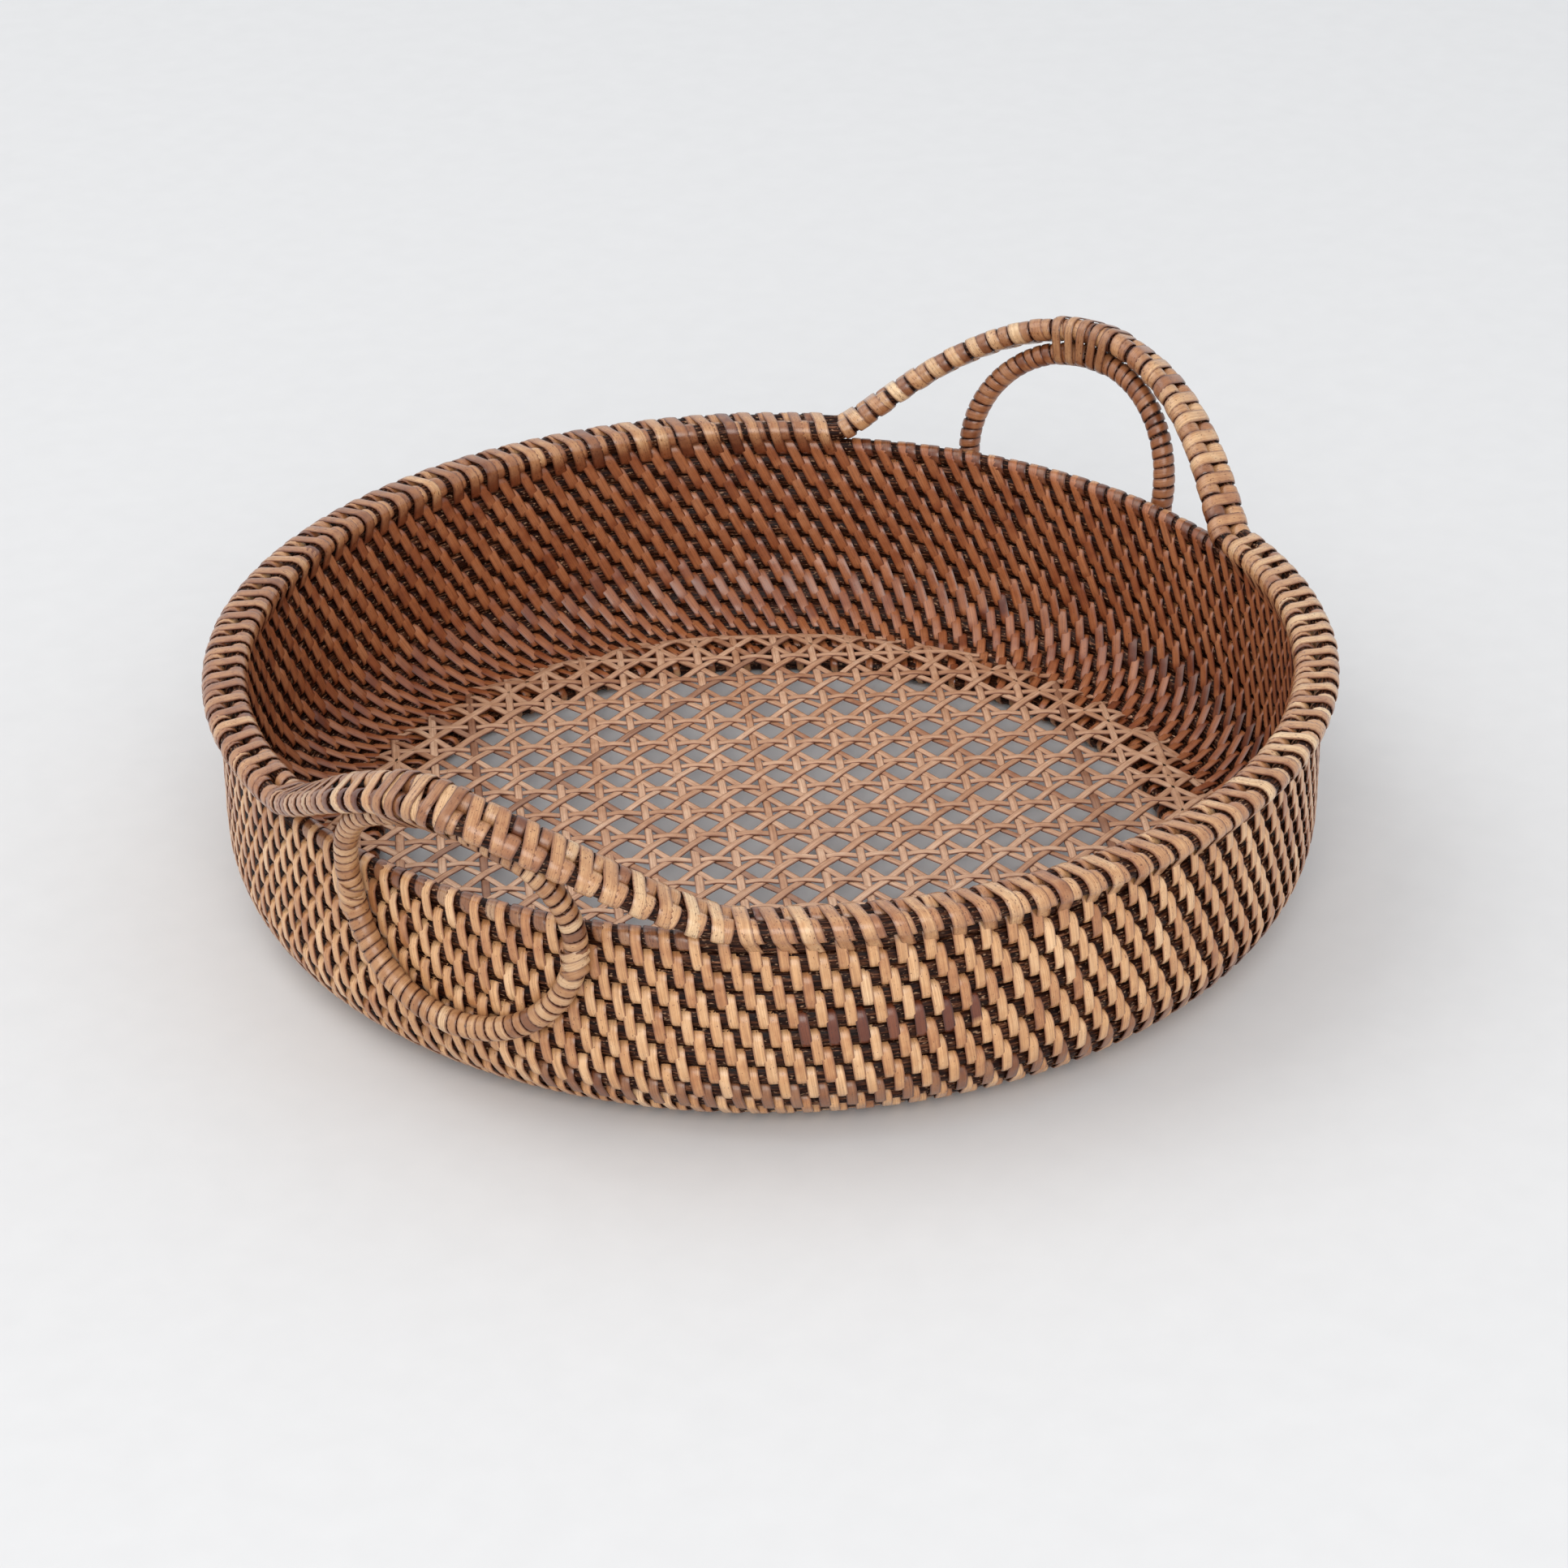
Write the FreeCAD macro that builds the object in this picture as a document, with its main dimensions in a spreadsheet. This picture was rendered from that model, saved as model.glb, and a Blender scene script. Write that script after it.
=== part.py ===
"""Round rattan winnowing basket: stacked rods bound with split rattan, a caned
floor, and two looped handles that rise from the rim.

Millimetres, +Z up. The basket stands on z = 0 and is centred on the Z axis.
The handles stand near the -X (left) and +X (right) ends.
"""
import FreeCAD, Part, Sketcher
import math
import os

Vector = FreeCAD.Vector
UP = Vector(0, 0, 1)

ROD_COUNT = 16
ARCH_POINTS = 31
RING_POINTS = 28

# alias, value, what it measures
SIZES = [
    ("rim_radius", 180.0, "outside of the rim, over its wraps"),
    ("rim_height", 75.2, "centre of the rim rods above the table"),
    ("rim_overhang", 5.1, "how far the rim stands out past the wall"),
    ("rim_rod_dia", 6.1, "bare rod of the rim and the arches"),
    ("ring_rod_dia", 6.3, "bare rod of the handle rings"),
    ("corner_radius", 25.5, "bend from wall to base, at the rod centres"),
    ("border_width", 15.0, "flat border from the bend inwards, at the rod centres"),
    ("strip_thickness", 0.5, "split rattan strip"),
    ("strip_width", 3.3, "split rattan strip"),
    ("strip_space", 1.7, "bare rod left showing between stitches"),
    ("strip_gap", 0.2, "side gap between stitches of neighbouring rows"),
    ("slack", 0.05, "play between a strip and what it binds"),
    ("arch_play", 0.1, "more play where a strip binds the bent rods of an arch"),
    ("handle_spread", 2.5, "angle of each handle from the X axis, towards -Y"),
    ("arch_reach", 18.8, "how far the top of an arch leans out past the rim"),
    ("left_arch_rise", 37.9, "top of the left arch above the rim"),
    ("left_arch_span", 27.0, "half angle between the left arch's legs"),
    ("left_arch_bow", 1.6, "roundness of the left arch's top"),
    ("left_arch_flare", 1.5, "how softly the left arch's legs leave the rim"),
    ("right_arch_rise", 41.6, "top of the right arch above the rim"),
    ("right_arch_span", 27.5, "half angle between the right arch's legs"),
    ("right_arch_bow", 1.9, "roundness of the right arch's top"),
    ("right_arch_flare", 1.25, "how softly the right arch's legs leave the rim"),
    ("splice_angle", 1.8, "stub of an arch's leg that lies along the rim"),
    ("ring_half_width", 40.0, "half width of a handle ring, at the rod centre"),
    ("ring_bottom", 31.5, "lowest point of a handle ring's centre line"),
    ("ring_play", 0.3, "play between a ring and the arch it hangs from"),
    ("cane_width", 2.7, "strand of the caned floor"),
    ("cane_thickness", 0.65, "strand of the caned floor"),
    ("cane_pitch_along", 13.5, "spacing of the strands of set A"),
    ("cane_pitch_across", 15.8, "spacing of the strands of set B"),
    ("cane_turn", 39.0, "direction of the strands of set A, from the X axis"),
]

# alias, formula: sizes that follow from the ones above
DERIVED = [
    ("bend_length", "corner_radius * pi / 2"),
    (
        "rod_dia",
        "(rim_height - rim_rod_dia / 2 - 2 * strip_thickness - 4 * slack - corner_radius"
        f" + bend_length + border_width - {ROD_COUNT - 1} * (2 * strip_thickness + 4 * slack))"
        f" / {ROD_COUNT}",
    ),
    ("base_height", "rod_dia / 2 + slack + strip_thickness"),
    ("wall_top", "rim_height - rim_rod_dia / 2 - strip_thickness - 3 * slack - rod_dia / 2"),
    ("wall_radius", "rim_radius - rim_overhang - strip_thickness - slack - rod_dia / 2"),
    ("straight_length", "wall_top - base_height - corner_radius"),
    ("rod_pitch", f"(straight_length + bend_length + border_width) / {ROD_COUNT - 1}"),
    ("bend_centre", "wall_radius - corner_radius"),
    ("rim_outer_radius", "rim_radius - strip_thickness - slack - rim_rod_dia / 2"),
    ("rim_rod_spacing", "rim_rod_dia + strip_thickness + 4 * slack"),
    ("rim_inner_radius", "rim_outer_radius - rim_rod_spacing"),
    ("rim_middle_radius", "(rim_outer_radius + rim_inner_radius) / 2"),
    ("play_angle", "slack / rim_inner_radius * 180 / pi"),
    ("left_leg_angle", "left_arch_span + splice_angle + play_angle"),
    ("right_leg_angle", "right_arch_span + splice_angle + play_angle"),
    ("back_rim_start", "right_leg_angle - handle_spread"),
    ("back_rim_sweep", "180 + 2 * handle_spread - left_leg_angle - right_leg_angle"),
    ("front_rim_start", "180 + handle_spread + left_leg_angle"),
    ("front_rim_sweep", "180 - 2 * handle_spread - left_leg_angle - right_leg_angle"),
]

doc = FreeCAD.newDocument("WinnowingBasket")
sheet = doc.addObject("Spreadsheet::Sheet", "Sizes")
parts = []


def write_cell(row, alias, content, note=""):
    """Put one size on the sheet, with its name beside it."""
    sheet.set(f"A{row}", alias)
    sheet.set(f"B{row}", content)
    sheet.set(f"C{row}", note)
    sheet.setAlias(f"B{row}", alias)


def rod_path(index):
    """Formulas for the radius and height of one rod along the wall, bend and border."""
    run = f"({index} * rod_pitch)"
    turned = f"(({run} - straight_length) / corner_radius * 180 / pi)"
    radius = (
        f"={run} < straight_length ? wall_radius : ({run} < straight_length + bend_length"
        f" ? bend_centre + corner_radius * cos({turned})"
        f" : bend_centre - ({run} - straight_length - bend_length))"
    )
    height = (
        f"={run} < straight_length ? wall_top - {run} : ({run} < straight_length + bend_length"
        f" ? base_height + corner_radius - corner_radius * sin({turned}) : base_height)"
    )
    return radius, height


def fill_sheet():
    """Driving sizes, then what follows from them, then every rod's place."""
    row = 1
    for alias, value, note in SIZES:
        write_cell(row, alias, str(value), note)
        row += 1
    for alias, formula in DERIVED:
        write_cell(row, alias, "=" + formula)
        row += 1
    for index in range(ROD_COUNT):
        radius, height = rod_path(index)
        write_cell(row, f"rod_radius_{index + 1:02d}", radius)
        write_cell(row + 1, f"rod_height_{index + 1:02d}", height)
        row += 2
    doc.recompute()


def size(alias):
    """A number from the sheet."""
    value = sheet.get(alias)
    return float(getattr(value, "Value", value))


def hoop(name, radius, height, diameter):
    """A closed hoop of rod, driven by three names of the sheet."""
    ring = doc.addObject("Part::Torus", name)
    ring.setExpression("Radius1", f"Sizes.{radius}")
    ring.setExpression("Radius2", f"Sizes.{diameter} / 2")
    ring.setExpression("Placement.Base.z", f"Sizes.{height}")
    parts.append(ring)


def body_plane(body, role):
    """One of a body's own origin planes or axes."""
    return next(item for item in body.Origin.OriginFeatures if item.Role == role)


def from_origin(kind, section, value):
    """Distance from a sketch's origin to the centre of a circle."""
    return Sketcher.Constraint(kind, -1, 1, section, 3, value)


def rim_rod(name, radius, start, sweep):
    """A stretch of rim rod: a round section turned about the basket's axis."""
    body = doc.addObject("PartDesign::Body", name)
    sketch = body.newObject("Sketcher::SketchObject", name + "_section")
    sketch.AttachmentSupport = [(body_plane(body, "XZ_Plane"), "")]
    sketch.MapMode = "FlatFace"
    centre = Vector(size(radius), size("rim_height"), 0)
    circle = Part.Circle(centre, Vector(0, 0, 1), size("rim_rod_dia") / 2)
    section = sketch.addGeometry(circle, False)
    for constraint, alias in (
        (from_origin("DistanceX", section, size(radius)), radius),
        (from_origin("DistanceY", section, size("rim_height")), "rim_height"),
        (Sketcher.Constraint("Diameter", section, size("rim_rod_dia")), "rim_rod_dia"),
    ):
        number = sketch.addConstraint(constraint)
        sketch.setExpression(f"Constraints[{number}]", f"Sizes.{alias}")
    turn = body.newObject("PartDesign::Revolution", name + "_turn")
    turn.Profile = sketch
    turn.ReferenceAxis = (body_plane(body, "Z_Axis"), [""])
    turn.setExpression("Angle", f"Sizes.{sweep}")
    body.setExpression(
        "Placement",
        "placement(vector(0; 0; 0); rotation(vector(0; 0; 1);"
        f" Sizes.{start}))",
    )
    parts.append(body)


def feature(name, shapes):
    """A node that holds one solid, or a group of separate ones."""
    node = doc.addObject("Part::Feature", name)
    node.Shape = shapes[0] if len(shapes) == 1 else Part.makeCompound(shapes)
    node.Placement = FreeCAD.Placement()
    parts.append(node)


def belt_wire(circles, grow):
    """Closed outline pulled tight round some circles, listed anticlockwise.

    circles is [(x, y, radius)] in the XY plane, and grow is added to each radius.
    """
    if len(circles) == 1:
        x, y, radius = circles[0]
        return Part.Wire([Part.Circle(Vector(x, y, 0), UP, radius + grow).toShape()])
    touches = []
    for one, two in zip(circles, circles[1:] + circles[:1]):
        along = Vector(two[0] - one[0], two[1] - one[1], 0)
        lean = (one[2] - two[2]) / along.Length
        along.normalize()
        side = Vector(along.y, -along.x, 0)
        normal = along * lean + side * math.sqrt(1 - lean * lean)
        start = Vector(one[0], one[1], 0) + normal * (one[2] + grow)
        end = Vector(two[0], two[1], 0) + normal * (two[2] + grow)
        touches.append((start, end, normal))
    edges = []
    for index, (start, end, normal) in enumerate(touches):
        came_end, came_normal = touches[index - 1][1:]
        centre = Vector(circles[index][0], circles[index][1], 0)
        turn = math.atan2(normal.y, normal.x) - math.atan2(came_normal.y, came_normal.x)
        half = (turn % (2 * math.pi)) / 2
        first = math.atan2(came_normal.y, came_normal.x)
        radius = circles[index][2] + grow
        middle = centre + Vector(math.cos(first + half), math.sin(first + half), 0) * radius
        edges.append(Part.Arc(came_end, middle, start).toShape())
        edges.append(Part.LineSegment(start, end).toShape())
    return Part.Wire(edges)


def strap(circles, width):
    """A closed band of strip pulled round some rods, centred on the XY plane.

    circles gives each rod's centre and radius; width is the strip's width along Z.
    """
    inside = Part.Face(belt_wire(circles, size("slack")))
    outside = Part.Face(belt_wire(circles, size("slack") + size("strip_thickness")))
    band = outside.cut(inside)
    band.translate(Vector(0, 0, -width / 2))
    return band.extrude(Vector(0, 0, width)).Solids[0]


def placed(shape, x_axis, y_axis, z_axis, origin):
    """A copy of a shape with its own axes laid along three directions."""
    matrix = FreeCAD.Matrix(
        x_axis.x, y_axis.x, z_axis.x, origin.x,
        x_axis.y, y_axis.y, z_axis.y, origin.y,
        x_axis.z, y_axis.z, z_axis.z, origin.z,
        0, 0, 0, 1,
    )
    copy = shape.copy()
    copy.transformShape(matrix, True)
    return copy


def at_angle(shape, degrees):
    """A strap drawn with X outwards and Y up, stood on the basket at an angle."""
    turn = math.radians(degrees)
    outwards = Vector(math.cos(turn), math.sin(turn), 0)
    return placed(shape, outwards, UP, outwards.cross(UP), Vector())


def rod_circle(index):
    """Section of one rod of the basket, as (radius, height, rod radius)."""
    name = f"{index:02d}"
    return size("rod_radius_" + name), size("rod_height_" + name), size("rod_dia") / 2


def stitch_count():
    """Stitches in one row, the same all the way down."""
    pitch = 2 * size("strip_width") + size("strip_space")
    return int(2 * math.pi * size("wall_radius") / pitch)


def stitch_shift():
    """Angle by which each row's stitches stand off from the row above."""
    step = size("strip_width") + size("strip_gap")
    return math.degrees(step / size("wall_radius"))


def local_width(radius):
    """Strips are trimmed narrower towards the middle, where stitches crowd."""
    return size("strip_width") * min(1.0, radius / size("wall_radius"))


def basket_rods():
    """Sixteen hoops from the top of the wall, round the bend, to the border."""
    for index in range(1, ROD_COUNT + 1):
        hoop(
            f"basket_rod_{index:02d}",
            f"rod_radius_{index:02d}",
            f"rod_height_{index:02d}",
            "rod_dia",
        )


def basket_bindings():
    """Rows of stitches; each stitch is pulled round two neighbouring rods."""
    count = stitch_count()
    for row in range(1, ROD_COUNT):
        upper, lower = rod_circle(row), rod_circle(row + 1)
        inner_end = min(upper[0], lower[0]) - upper[2] - size("strip_thickness")
        stitch = strap([lower, upper], local_width(inner_end))
        shift = row * stitch_shift()
        stitches = [at_angle(stitch, shift + 360 * n / count) for n in range(count)]
        feature(f"basket_binding_{row:02d}", stitches)


def inside_arc(degrees, start, sweep, margin):
    """Whether a strap at an angle stays clear of both ends of an arc."""
    along = (degrees - start) % 360
    return margin <= along <= sweep - margin


def rim():
    """Two rods side by side, front and back, between the legs of the arches."""
    for side in ("back", "front"):
        for place in ("outer", "inner"):
            rim_rod(
                f"rim_{place}_rod_{side}",
                f"rim_{place}_radius",
                f"{side}_rim_start",
                f"{side}_rim_sweep",
            )


def rim_sections():
    """Sections of the outer and the inner rim rod."""
    half = size("rim_rod_dia") / 2
    outer = (size("rim_outer_radius"), size("rim_height"), half)
    inner = (size("rim_inner_radius"), size("rim_height"), half)
    return outer, inner


def rim_bindings():
    """Long wraps tie both rim rods to the wall; short ones fill in on the outer rod."""
    outer, inner = rim_sections()
    count = stitch_count()
    step = 360 / count
    margin = math.degrees(size("strip_width") * 0.8 / size("rim_inner_radius"))
    splice = size("splice_angle")
    long_wrap = strap([rod_circle(1), outer, inner], size("strip_width"))
    short_wrap = strap([outer], size("strip_width"))
    for side in ("back", "front"):
        start, sweep = size(f"{side}_rim_start") - splice, size(f"{side}_rim_sweep") + 2 * splice
        wraps = []
        for n in range(count):
            for wrap, angle in ((long_wrap, n * step), (short_wrap, (n + 0.5) * step)):
                if inside_arc(angle, start, sweep, margin):
                    wraps.append(at_angle(wrap, angle))
        feature(f"rim_binding_{side}", wraps)


def handle_angle(side):
    """Direction of a handle from the basket's axis."""
    spread = size("handle_spread")
    return 180 + spread if side == "left" else -spread


def gap_bindings():
    """Single wraps along the bare top rod under each arch."""
    step = 360 / stitch_count()
    wrap = strap([rod_circle(1)], size("strip_width"))
    offset = stitch_shift() + step / 2
    for side in ("left", "right"):
        span = size(f"{side}_arch_span")
        start = handle_angle(side) - span
        wraps = [
            at_angle(wrap, offset + n * step)
            for n in range(stitch_count())
            if inside_arc(offset + n * step, start, 2 * span, step)
        ]
        feature(f"top_binding_{side}", wraps)


def arch_frame(side, share):
    """Centre of the arch's pair of rods, and the direction from inner to outer rod.

    share runs from -1 at one leg to 1 at the other. The arch rises on a smooth hump
    and leans outwards as it rises; beyond the legs it lies along the rim.
    """
    rounded = max(0.0, 1 - abs(share) ** size(f"{side}_arch_bow"))
    hump = rounded ** size(f"{side}_arch_flare")
    turn = math.radians(handle_angle(side) + share * size(f"{side}_arch_span"))
    outwards = Vector(math.cos(turn), math.sin(turn), 0)
    reach = size("rim_middle_radius") + size("arch_reach") * hump
    centre = outwards * reach + UP * (size("rim_height") + size(f"{side}_arch_rise") * hump)
    tilt = math.atan2(size("arch_reach"), size(f"{side}_arch_rise")) * hump
    across = outwards * math.cos(tilt) - UP * math.sin(tilt)
    return centre, across


def rounded_path(points, closed=False):
    """Straight runs between some points, joined by arcs that touch both runs."""
    count = len(points)
    corners = range(count) if closed else range(1, count - 1)
    ends = {}
    arcs = {}
    for index in corners:
        before, here, after = points[index - 1], points[index], points[(index + 1) % count]
        back, ahead = (before - here), (after - here)
        cut = 0.45 * min(back.Length, ahead.Length)
        back.normalize()
        ahead.normalize()
        start, end = here + back * cut, here + ahead * cut
        half_turn = (math.pi - back.getAngle(ahead)) / 2
        radius = cut / math.tan(half_turn)
        inwards = (back + ahead).normalize()
        bulge = radius / math.cos(half_turn) - radius
        arcs[index] = Part.Arc(start, here + inwards * bulge, end).toShape()
        ends[index] = (start, end)
    edges = []
    for index in range(count if closed else count - 1):
        follow = (index + 1) % count
        leave = ends[index][1] if index in ends else points[index]
        arrive = ends[follow][0] if follow in ends else points[follow]
        edges.append(Part.LineSegment(leave, arrive).toShape())
        if follow in arcs:
            edges.append(arcs[follow])
    return Part.Wire(edges)


def round_rod(path, diameter):
    """A rod of round section along a path, checked against its length."""
    first = path.Edges[0]
    start = first.valueAt(first.FirstParameter)
    heading = first.tangentAt(first.FirstParameter)
    section = Part.Wire([Part.Circle(start, heading, diameter / 2).toShape()])
    rod = path.makePipeShell([section], True, False)
    expected = math.pi * diameter**2 / 4 * path.Length
    if not rod.isValid() or abs(rod.Volume - expected) > 0.01 * expected:
        raise ValueError("a rod's volume does not follow from its section and length")
    return rod


def spread(low, high, count):
    """Evenly spaced numbers from low to high, both included."""
    return [low + (high - low) * n / (count - 1) for n in range(count)]


def arch_path(side, offset):
    """Path at a distance outwards from the middle of the arch's pair of rods."""
    points = []
    stub = 1 + size("splice_angle") / size(f"{side}_arch_span")
    for share in [-stub, *spread(-1, 1, ARCH_POINTS), stub]:
        centre, across = arch_frame(side, share)
        points.append(centre + across * offset)
    return rounded_path(points)


def frames_along(path, across_at, step, margin):
    """Places along a path, evenly spaced: position, heading and across direction."""
    count = max(2, int((path.Length - 2 * margin) / step) + 1)
    frames = []
    for distance in spread(margin, path.Length - margin, count):
        for edge in path.Edges:
            if distance <= edge.Length:
                break
            distance -= edge.Length
        where = edge.getParameterByLength(min(distance, edge.Length))
        centre = edge.valueAt(where)
        heading = edge.tangentAt(where)
        across = across_at(centre)
        across = (across - heading * across.dot(heading)).normalize()
        frames.append((centre, heading, across))
    return frames


def nearest_across(side):
    """Finds the inner-to-outer direction of an arch at a point near it."""
    samples = [arch_frame(side, share) for share in spread(-1, 1, 8 * ARCH_POINTS)]

    def across_at(point):
        return min(samples, key=lambda sample: (sample[0] - point).Length)[1]

    return across_at


def arches():
    """The pair of rods of each handle, and its long and short wraps."""
    half_spacing = size("rim_rod_spacing") / 2
    wrap_width = size("strip_width") * 0.9
    step = (2 * size("strip_width") + size("strip_space")) / 2
    half_rod = size("rim_rod_dia") / 2 + size("arch_play")
    outer, inner = (half_spacing, 0, half_rod), (-half_spacing, 0, half_rod)
    long_wrap = strap([outer, inner], wrap_width)
    short_wrap = strap([outer], wrap_width)
    stub = size("rim_middle_radius") * math.radians(size("splice_angle"))
    clear_of_wall = size("rim_height") + size("arch_play") + size("strip_thickness")
    for side in ("left", "right"):
        for place, offset in (("outer", half_spacing), ("inner", -half_spacing)):
            rod = round_rod(arch_path(side, offset), size("rim_rod_dia"))
            feature(f"handle_{side}_{place}_rod", [rod])
        frames = frames_along(arch_path(side, 0), nearest_across(side), step, stub + step / 2)
        wraps = []
        for number, (centre, heading, across) in enumerate(frames):
            if centre.z < clear_of_wall:
                continue
            wrap = short_wrap if number % 2 else long_wrap
            wraps.append(placed(wrap, across, heading.cross(across), heading, centre))
        feature(f"handle_{side}_binding", wraps)


def ring_section_radius():
    """Radius of a handle ring over its wraps."""
    return size("ring_rod_dia") / 2 + size("slack") + size("strip_thickness")


def wrapped_rod_radius():
    """Radius of an arch rod over its wraps."""
    return size("rim_rod_dia") / 2 + size("arch_play") + size("slack") + size("strip_thickness")


def arch_axes(side, share):
    """Centre of an arch's pair of rods, with its heading, across and below directions."""
    centre, across = arch_frame(side, share)
    after, before = arch_frame(side, share + 0.01)[0], arch_frame(side, share - 0.01)[0]
    heading = (after - before).normalize()
    across = (across - heading * across.dot(heading)).normalize()
    return centre, heading, across, heading.cross(across)


def ring_under_arch(side, share):
    """Where the ring's centre line runs when the ring hangs right under the arch."""
    centre, heading, across, below = arch_axes(side, share)
    return centre + below * (wrapped_rod_radius() + ring_section_radius() + size("ring_play"))


def ring_rest():
    """Reach of the ring's centre line where the tied ring lies on the wall."""
    wall = size("rim_radius") - size("rim_overhang")
    return wall + ring_section_radius() + size("strip_thickness") + 3 * size("slack")


def ring_path(side):
    """Oval ring that lies on the wall below and leans out to the arch above."""
    top = ring_under_arch(side, 0)
    top_reach = math.hypot(top.x, top.y)
    rest = ring_rest()
    middle = (top.z + size("ring_bottom")) / 2
    half_height = (top.z - size("ring_bottom")) / 2
    leave = size("wall_top") - size("rod_dia")
    limits = []
    for share in spread(-0.7, 0.7, 421):
        point = ring_under_arch(side, share)
        limits.append((outwards_at(point), point.z))
    points = []
    for number in range(RING_POINTS):
        turn = 2 * math.pi * (number + 0.5) / RING_POINTS
        sweep = size("ring_half_width") / rest * math.sin(turn)
        angle = math.radians(handle_angle(side)) + sweep
        outwards = Vector(math.cos(angle), math.sin(angle), 0)
        limit = max(limits, key=lambda item: item[0].dot(outwards))[1]
        height = min(middle + half_height * math.cos(turn), limit)
        above = max(0.0, (height - leave) / (top.z - leave))
        reach = rest + (top_reach - rest) * above**1.3
        points.append(outwards * reach + UP * height)
    return rounded_path(points, closed=True)


def outwards_at(point):
    """Level direction from the basket's axis to a point."""
    return Vector(point.x, point.y, 0).normalize()


def rings():
    """Each handle's oval ring of rod, closely wrapped all the way round."""
    section = strap([(0, 0, size("ring_rod_dia") / 2)], size("strip_width") * 0.85)
    for side in ("left", "right"):
        path = ring_path(side)
        feature(f"handle_{side}_ring", [round_rod(path, size("ring_rod_dia"))])
        step = size("strip_width") + size("strip_gap")
        wraps = [
            placed(section, across, heading.cross(across), heading, centre)
            for centre, heading, across in frames_along(path, outwards_at, step, step / 2)
        ]
        feature(f"ring_binding_{side}", wraps)


def crossing(path, centre, normal, reach):
    """Where a path near a point crosses a plane: position, and slant to the normal."""
    close = []
    for edge in path.Edges:
        for share in spread(0, 1, 25):
            where = edge.FirstParameter + share * (edge.LastParameter - edge.FirstParameter)
            offset = edge.valueAt(where) - centre
            if offset.Length < reach:
                slant = abs(edge.tangentAt(where).dot(normal))
                close.append((abs(offset.dot(normal)), offset, slant))
    return min(close, key=lambda item: item[0])[1:]


def lashings():
    """Turns of strip that hold each ring up against the top of its arch."""
    half_spacing = size("rim_rod_spacing") / 2
    width = size("strip_width")
    for side in ("left", "right"):
        paths = (
            (arch_path(side, half_spacing), wrapped_rod_radius()),
            (ring_path(side), ring_section_radius()),
            (arch_path(side, -half_spacing), wrapped_rod_radius()),
        )
        top, heading, across, below = arch_axes(side, 0)
        turns = []
        for number in (-2, -1, 0, 1, 2):
            centre = top + heading * (number * 1.5 * width)
            circles = []
            for path, radius in paths:
                offset, slant = crossing(path, centre, heading, 4 * radius)
                room = radius / slant + width / 2 * math.sqrt(1 / slant**2 - 1)
                circles.append((offset.dot(across), offset.dot(below), room))
            turns.append(placed(strap(circles, width), across, below, heading, centre))
        feature(f"ring_lashing_{side}", turns)


def ties():
    """Thick double turns on each ring where it is tied to the top of the wall."""
    radius = ring_section_radius()
    collar = strap([(0, 0, radius)], size("strip_width") * 0.8)
    for side in ("left", "right"):
        step = size("strip_width") + size("strip_gap")
        level = size("wall_top") - size("rod_pitch")
        frames = frames_along(ring_path(side), outwards_at, step, step / 2)
        turns = [
            placed(collar, across, heading.cross(across), heading, centre)
            for centre, heading, across in frames
            if abs(centre.z - level) < step
        ]
        feature(f"ring_ties_{side}", turns)


def strand(start, end, level):
    """One flat strand of cane between two points of the floor."""
    along = end - start
    box = Part.makeBox(along.Length, size("cane_width"), size("cane_thickness"))
    box.translate(Vector(0, -size("cane_width") / 2, 0))
    along.normalize()
    return placed(box, along, UP.cross(along), UP, start + UP * level)


def strand_set(direction, pitch, first, radius, level):
    """Parallel strands that fill a circle, cut off at its edge."""
    along = Vector(math.cos(direction), math.sin(direction), 0)
    across = UP.cross(along)
    half_width = size("cane_width") / 2
    strands = []
    reach = int(radius / pitch) + 2
    for number in range(-reach, reach + 1):
        distance = (number + first) * pitch
        edge = abs(distance) + half_width
        if edge > radius - 2 * half_width:
            continue
        half = math.sqrt(radius**2 - edge**2)
        middle = across * distance
        strands.append(strand(middle - along * half, middle + along * half, level))
    return strands


def floor():
    """Four sets of strands: two crossing, and two slanting between the crossings."""
    pitch_a, pitch_b = size("cane_pitch_along"), size("cane_pitch_across")
    turn = math.radians(size("cane_turn"))
    slant = math.atan2(pitch_b, pitch_a)
    slant_pitch = pitch_a * pitch_b / math.hypot(pitch_a, pitch_b)
    radius = size("bend_centre")
    top = 2 * size("base_height") + size("slack")
    layer = size("cane_thickness") + size("slack")
    sets = (
        ("floor_strands_b", turn - math.pi / 2, pitch_b, 0.0),
        ("floor_strands_a", turn, pitch_a, 0.0),
        ("floor_strands_c", turn - math.pi / 2 + slant, slant_pitch, 0.5),
        ("floor_strands_d", turn - math.pi / 2 - slant, slant_pitch, 0.5),
    )
    for number, (name, direction, pitch, first) in enumerate(sets):
        strands = strand_set(direction, pitch, first, radius, top + number * layer)
        feature(name, strands)


def check_parts():
    """Stop if anything failed to build."""
    for item in doc.Objects:
        if "Invalid" in item.State or "Error" in item.State:
            raise RuntimeError(f"{item.Name} failed: {item.State}")
    for part in parts:
        if part.Shape.isNull() or not part.Shape.isValid():
            raise RuntimeError(f"{part.Label} has no valid shape")
        if not part.Shape.Solids:
            raise RuntimeError(f"{part.Label} holds no solid")


def export_parts():
    """Write each sub-part to a file of its own."""
    os.makedirs("parts", exist_ok=True)
    for part in parts:
        part.Shape.exportStep(f"parts/{part.Label}.step")
        print(f"{part.Label}: {len(part.Shape.Solids)} solids, {part.Shape.Volume:.0f} mm3")


fill_sheet()
basket_rods()
basket_bindings()
rim()
rim_bindings()
gap_bindings()
arches()
rings()
lashings()
ties()
floor()
doc.recompute()
check_parts()
export_parts()
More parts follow.
